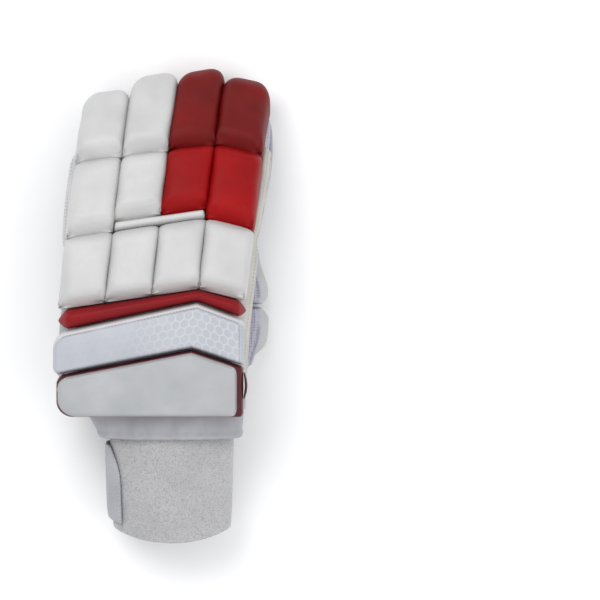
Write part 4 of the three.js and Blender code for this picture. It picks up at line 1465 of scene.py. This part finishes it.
def thumb_pad(name, start, end, seed, pleats):
    obj = cushion(name, 37)
    length = (end - start) * THUMB_LENGTH
    ends = (PAD_JOINT, (0.2, 2.3, 13.0)) if pleats else ((0.1, 2.6, 5.0), PAD_JOINT)
    wide, up, run = round_ends(obj, length, *ends, 3.2)
    share = start + run / THUMB_LENGTH
    base = pad_base(share)
    half = THUMB_PAD_DEPTH / 2 * (1 - 0.06 * smooth(share, 0.7, 1))
    top = 1.5 + THUMB_PAD_HEIGHT + 5.5
    height = np.where(up > 0, up * top, up * 2.0)
    edge = (1 - np.abs(wide)) * half
    side = 7.5 + 1.15 * edge
    lower_end = 12.0 + run if pleats else 5.0 + 0.8 * run
    upper_end = 3.5 + 0.72 * (length - run) if pleats else 11.5 + 0.9 * (length - run)
    shaped = lower_of(lower_of(height, side, 1.6), lower_of(lower_end, upper_end, 1.6), 1.6)
    height = np.where(up > 0, np.minimum(height, shaped), height)
    if pleats:
        fold = np.cos(wide * 15 + 0.6 * np.sin(wide * 9)) * smooth(run, length - 16, length - 4)
        height = height + 0.55 * fold * smooth(up, 0.0, 0.5)
    height = height + 0.3 * ripple(run, wide * half, seed, 22) * (up > 0)
    z = FLOOR - 0.6 + THUMB_PAD_DEPTH / 2 + wide * half
    below_seam = smooth(-height, -PAD_SEAM - 0.3, -PAD_SEAM + 0.3)
    write_value(obj, "mesh_side", smooth(wide, 0.35, 0.45) * below_seam)
    write_points(obj, straight(base + height, THUMB_ROOT + start * THUMB_LENGTH + run, z))
    write_pattern(obj, run, wide * half)
    outward(obj)
    return finish(obj, thumb_pad_leather, "white_leather", name, fill=0.8)


thumb_pad("thumb_pad_lower", start=0.1, end=0.44, seed=72, pleats=False)
thumb_pad("thumb_pad_upper", start=0.45, end=0.97, seed=73, pleats=True)


# %% [markdown]
# Ribbed bindings run along both edges of the pads, and a strip of mesh joins the inner side.

# %% Thumb bindings and mesh
def pad_edge(start, end, upper):
    """A line where the pads meet the thumb, on its upper or lower side."""
    share = np.linspace(start, end, 120)
    base = pad_base(share)
    ends = np.minimum(smooth(share, start, start + 0.04), smooth(-share, -end, -end + 0.13))
    if upper:
        rise = PAD_SEAM * ends
        z = FLOOR + THUMB_PAD_DEPTH - 1.2 - np.maximum(rise - 7.5, 0) / 1.15 - 5 * (1 - ends)
    else:
        rise, z = 0.8, FLOOR + 1.2 + 6 * (1 - ends)
    return straight(base + rise, THUMB_ROOT + share * THUMB_LENGTH, z)


cord("thumb_binding_upper", pad_edge(0.1, 0.45, True), 1.2, elastic, "lavender_mesh", rib=0.09)
cord("thumb_binding_tip", pad_edge(0.45, 0.97, True), 1.2, elastic, "lavender_mesh", rib=0.09)
cord("thumb_binding_lower", pad_edge(0.12, 0.97, False), 1.3, elastic, "lavender_mesh", rib=0.09)


def mesh_place(u, v):
    share = mix(0.45, 0.92, v)
    _, _, width, depth = thumb_table(share)
    high = mix(-0.62, 0.62, u)
    x = thumb_out(share) - (width * THUMB_WIDTH / 2 + 0.9) * bulge(high, STALL_SQUARE)
    z = FLOOR + 0.4 + THUMB_DEPTH / 2 + high * depth * THUMB_DEPTH / 2
    return straight(x, THUMB_ROOT + share * THUMB_LENGTH, z)


skin("thumb_mesh", 20, 70, mesh_place, lavender_mesh, "lavender_mesh", thickness=0.8)

# %% [markdown]
# ## The palm side
# Each fingertip ends in a smooth white band, with a leather tab below it. A ribbed binding runs round
# each finger's panel of hide, from web to web. The heel, the base of the thumb and the little-finger
# side of the cuff have patches of their own.

# %% Fingertips
def stall_under(finger, across, row, grow):
    """The palm side of a stall, at a distance across from its middle line."""
    width, depth = stall_table(np.clip((row - STALL_ROOT) / stall_length(finger), 0, 1))
    drop = bulge(across / (width * STALL_WIDTH / 2), STALL_SQUARE) * (depth * STALL_DEPTH / 2 + grow)
    return on_row(stall_middle(finger) + across, row, -STALL_DEPTH / 2 - drop)


TAB_HALF, TAB_LENGTH, BAND_START = 10.4, 11.0, 13.4


def tip_band(name, finger, seed):
    """A smooth band that bends up round the end of the finger."""
    straight_part, radius = 3.0, 8.5

    def place(u, v):
        across = mix(-TAB_HALF, TAB_HALF, u)
        fullness = bulge(across * 2 / STALL_WIDTH, STALL_SQUARE)
        lip = np.sqrt(np.clip(rim(u, 14), 0, 1) * np.clip(rim(v, 10), 0.05, 1))
        run = v * (straight_part + radius * math.pi / 2)
        turn = np.clip((run - straight_part) / radius, 0, math.pi / 2)
        thick = 0.4 + 1.5 * lip + 0.15 * ripple(across, run, seed, 9)
        row = tip_end(finger) - BAND_START + np.minimum(run, straight_part)
        row = row + np.sin(turn) * (radius * fullness ** 0.6 + thick)
        height = -STALL_DEPTH / 2 - fullness * (10.4 * np.cos(turn) + thick * np.cos(turn) ** 0.5)
        height = height + 6.5 * smooth(turn, 0.7, math.pi / 2)
        return on_row(stall_middle(finger) + across, row, height)
    skin(name, 38, 38, place, white_leather, "white_leather", thickness=1.2)


def tip_tab(name, finger, seed):
    """A leather tab below the band."""
    end = tip_end(finger) - BAND_START

    def place(u, v):
        across = mix(-TAB_HALF, TAB_HALF - 0.6, u)
        edge = np.clip(np.minimum(rim(u, 20), v * 14), 0, 1)
        lift = 0.3 + 0.9 * np.sqrt(edge) + 0.5 * (1 - v) * u + 0.2 * ripple(across, v * 10, seed, 9)
        return stall_under(finger, across, end - TAB_LENGTH + v * (TAB_LENGTH - 0.5), lift)
    skin(name, 40, 26, place, tab_leather, "palm_leather", thickness=0.8)


def panel_outline(finger, half, low, high, radius, grow):
    """Up one side of a finger's panel, round its end and down the other."""
    arc = np.linspace(0, math.pi / 2, 16)
    up = np.linspace(low, high - radius, 90)
    across = np.concatenate([np.full(90, -half), -half + radius * (1 - np.cos(arc)),
                             np.linspace(-half + radius, half - radius, 30),
                             half - radius + radius * np.sin(arc), np.full(90, half)])
    rows = np.concatenate([up, high - radius + radius * np.sin(arc), np.full(30, high),
                           high - radius + radius * np.cos(arc), up[::-1]])
    wander = 0.35 * np.sin(rows * 0.31 + finger["column"] * 2) * (np.abs(across) > half - 0.1)
    return stall_under(finger, across + wander, rows, grow)


for seed, (finger_name, finger) in enumerate(FINGERS.items()):
    tip_band(f"tip_band_{finger_name}", finger, 101 + seed)
    tip_tab(f"tip_tab_{finger_name}", finger, 111 + seed)
    panel_end = tip_end(finger) - BAND_START - TAB_LENGTH - 1.6
    outline = panel_outline(finger, 10.6, WEB_ROW - 1, panel_end, 5.0, 0.5)
    cord(f"panel_binding_{finger_name}", outline, 1.2, elastic, "lavender_mesh", rib=0.1)

# %% [markdown]
# Patches on the palm follow its surface with rounded corners and a thin raised edge. The flap of the
# cuff is thicker: it is folded round the side of the hand, with loose creases.

# %% Palm patches
def under_hand(x, along, grow):
    """The palm side of the hand, at flat places x and along."""
    share = hand_share(along)
    left, right, half = hand_sides(along, share)
    height = -half - bulge((2 * x - left - right) / (right - left), HAND_SQUARE) * (half + grow)
    row = along + rise(x, along, share)
    return curl(x, row, height + palm_relief(x, row))


def patch(name, left, right, low, high, grow, radius=3.0, slant=0.0):
    """A flat piece between two x and two rows; slant lowers its upper edge towards the thumb side."""
    def place(u, v):
        x = mix(left, right, u)
        start = low + corner(right - x, radius) * (low > BAND_LENGTH + 20)
        end = high - slant * (x - left) - corner(right - x, radius) - corner(x - left, radius * 0.5)
        edge = np.clip(np.minimum(rim(u, right - left), rim(v, 30)), 0, 1)
        return under_hand(x, mix(start, end, v), 0.25 + (grow - 0.25) * np.sqrt(edge))
    skin(name, 50, 50, place, palm_leather, "palm_leather", thickness=0.9)
    return place


heel_place = patch("heel_patch", left=-33.0, right=-0.5, low=81.0, high=116.0, grow=1.6, slant=0.42)
crotch_place = patch("crotch_patch", left=7.5, right=44.5, low=158.0, high=189.0, grow=0.95)
palm_inside = curl(5, 125, -18)


def nested(place, inset, keep):
    """A stitch line inside the upper and right edges of a patch."""
    u = np.concatenate([np.linspace(keep, 1 - inset, 60), np.full(60, 1 - inset)])
    v = np.concatenate([np.full(60, 1 - inset), np.linspace(1 - inset, 0.02, 60)])
    return line_on(place, u, v, palm_inside)


stitches("heel_patch_stitches", [nested(heel_place, inset, 0.02) for inset in (0.05, 0.27, 0.5)],
         grey_thread, "palm_leather")
crotch_side = line_on(crotch_place, np.full(60, 0.05), np.linspace(0.05, 0.95, 60), palm_inside)
stitches("crotch_patch_stitches", [nested(crotch_place, 0.05, 0.05), crotch_side],
         grey_thread, "palm_leather")


def flap_place(u, v):
    """The cuff flap: from the side of the hand under the palm, between two rows."""
    along = mix(CUFF_ROW + 0.8, CROSS_PAD_ROW - 0.3, v)
    round_share = mix(0.468, 0.605, u)
    edge = np.clip(np.minimum(rim(u, 8), rim(v, 9)), 0, 1)
    loose = np.sin((v * 3.1 + u * 1.4) * math.pi) + 0.6 * np.sin((v * 6.3 - u * 2.2) * math.pi + 1)
    grow = 0.4 + np.sqrt(edge) * (2.6 + 0.85 * loose)
    x, along_out, height = hand_flat(round_share, hand_share(along), grow)
    return curl(x, along_out, height)


# the flap carries the cuff's white leather, darkened with painted shade
skin("cuff_flap", 50, 74, flap_place, cuff_leather_painted_shade, "white_leather", thickness=1.6)

# %% [markdown]
# Stitch lines and punched air holes are set out on a plan of the palm. Each point is then carried up
# onto the hide by a ray, so the lines follow every crease.

# %% Plan of the palm
hides = [o for o in bpy.data.objects if "stitches" not in o.name and not o.hide_render
         and o.name.startswith(("palm_leather", "stall_", "heel_patch.", "crotch_patch."))]
bpy.context.view_layer.update()


def onto_palm(plan):
    """Points of the hide, and its normals, over places (x, y) of the uncurled plan in millimetres."""
    points, normals = [], []
    for x, y in plan:
        start = ((x + SHIFT[0]) * MM, (y + SHIFT[1]) * MM, -0.05)
        hits = [o.ray_cast(start, (0, 0, 1)) for o in hides]
        hits = [(place, normal) for hit, place, normal, _ in hits if hit]
        if hits:
            place, normal = min(hits, key=lambda h: h[0].z)
            points.append(place)
            normals.append(normal)
    return np.array(points), np.array(normals)


def run_through(corners, count=80):
    """Points evenly along a smooth run through a few places."""
    corners = np.array(corners, float)
    run = run_of(corners)
    line = points_at(np.linspace(0, run[-1], count), run, corners)
    kernel = np.hanning(13) / np.hanning(13).sum()
    padded = np.pad(line, ((6, 6), (0, 0)), mode="reflect", reflect_type="odd")
    return np.stack([np.convolve(padded[:, k], kernel, "valid") for k in range(2)], axis=-1)


thumb_seam, _ = onto_palm(run_through([(x + 3.1, y) for x, y in THUMB_BASE[1:]], 160))
cord("thumb_seam", thumb_seam, 0.35, palm_leather, "palm_leather")
ULNAR_SEAM = [(-48, 168), (-47, 150), (-44, 132), (-39, 120)]
plans = [THUMB_BASE, [(x - 3, y) for x, y in THUMB_BASE], ULNAR_SEAM]
stitches("palm_stitches", [onto_palm(run_through(plan)) for plan in plans], grey_thread, "palm_leather")

finger_lines = []
for finger in FINGERS.values():
    end = tip_end(finger) - BAND_START - TAB_LENGTH - 4.0
    line = panel_outline(finger, 8.2, WEB_ROW + 6, end, 4.0, 0)
    finger_lines.append(onto_palm(line[:, :2] / MM - SHIFT[:2]))
stitches("panel_stitches", finger_lines, grey_thread, "palm_leather", length=1.1, pitch=1.9, thick=0.35)

# %% [markdown]
# The air holes come in pairs along the fingers and in a scatter on the palm. Cutting them would leave
# ragged edges in the net, so each is a small flattened dome set into the hide, painted dark as the shade
# inside a hole.

# %% Air holes
PALM_HOLES = [(-19, 156), (-7, 157), (-26, 143), (-14, 141), (0, 145), (-25, 130), (-9, 131)]
FINGER_HOLES = {"little": [10, 20, 31], "ring": [8, 26], "middle": [20, 38], "index": [22]}
holes = list(PALM_HOLES)
for finger_name, rows in FINGER_HOLES.items():
    finger = FINGERS[finger_name]
    for row in rows:
        for across in ((-3.8, 3.8) if finger_name != "index" else (1.5,)):
            place = stall_under(finger, across + 0.03 * row, WEB_ROW + row, 0)
            holes.append(tuple(place[:2] / MM - SHIFT[:2]))
hole_places, hole_normals = onto_palm(holes)
bpy.ops.mesh.primitive_uv_sphere_add(segments=16, ring_count=8, radius=0.85)
air_holes = named("air_holes")
pit = read_points(air_holes) * [1, 1, 0.25] * MM
hole_axes = []
for normal in hole_normals:
    side = unit(np.cross(normal, [[0.0, 1.0, 0.0]]))[0]
    hole_axes.append((side, np.cross(normal, side), normal))
copies(air_holes, pit, zip(hole_places, hole_axes))
# painted shade: a near-black finish stands in for the shade inside each hole
hole_painted_shade, hole_tree, _ = new_material("hole_painted_shade", (0.016, 0.015, 0.024), 0.9)
dress(hole_tree, Base_Color=blend(hole_tree, noise(hole_tree, 900), (0.010, 0.010, 0.016),
                                  (0.03, 0.028, 0.04)))
finish(air_holes, hole_painted_shade, "palm_leather")
print(len(hole_places), "air holes")

# %% [markdown]
# ## Floor
# A plain pale floor lies just under the glove.

# %% Floor
bpy.ops.mesh.primitive_plane_add(size=6, location=(0, 0, -0.0002))
floor_plane = named("floor")
floor_material, _, _ = new_material("pale_floor", (0.9, 0.9, 0.905), 0.9)
floor_plane.data.materials.append(floor_material)
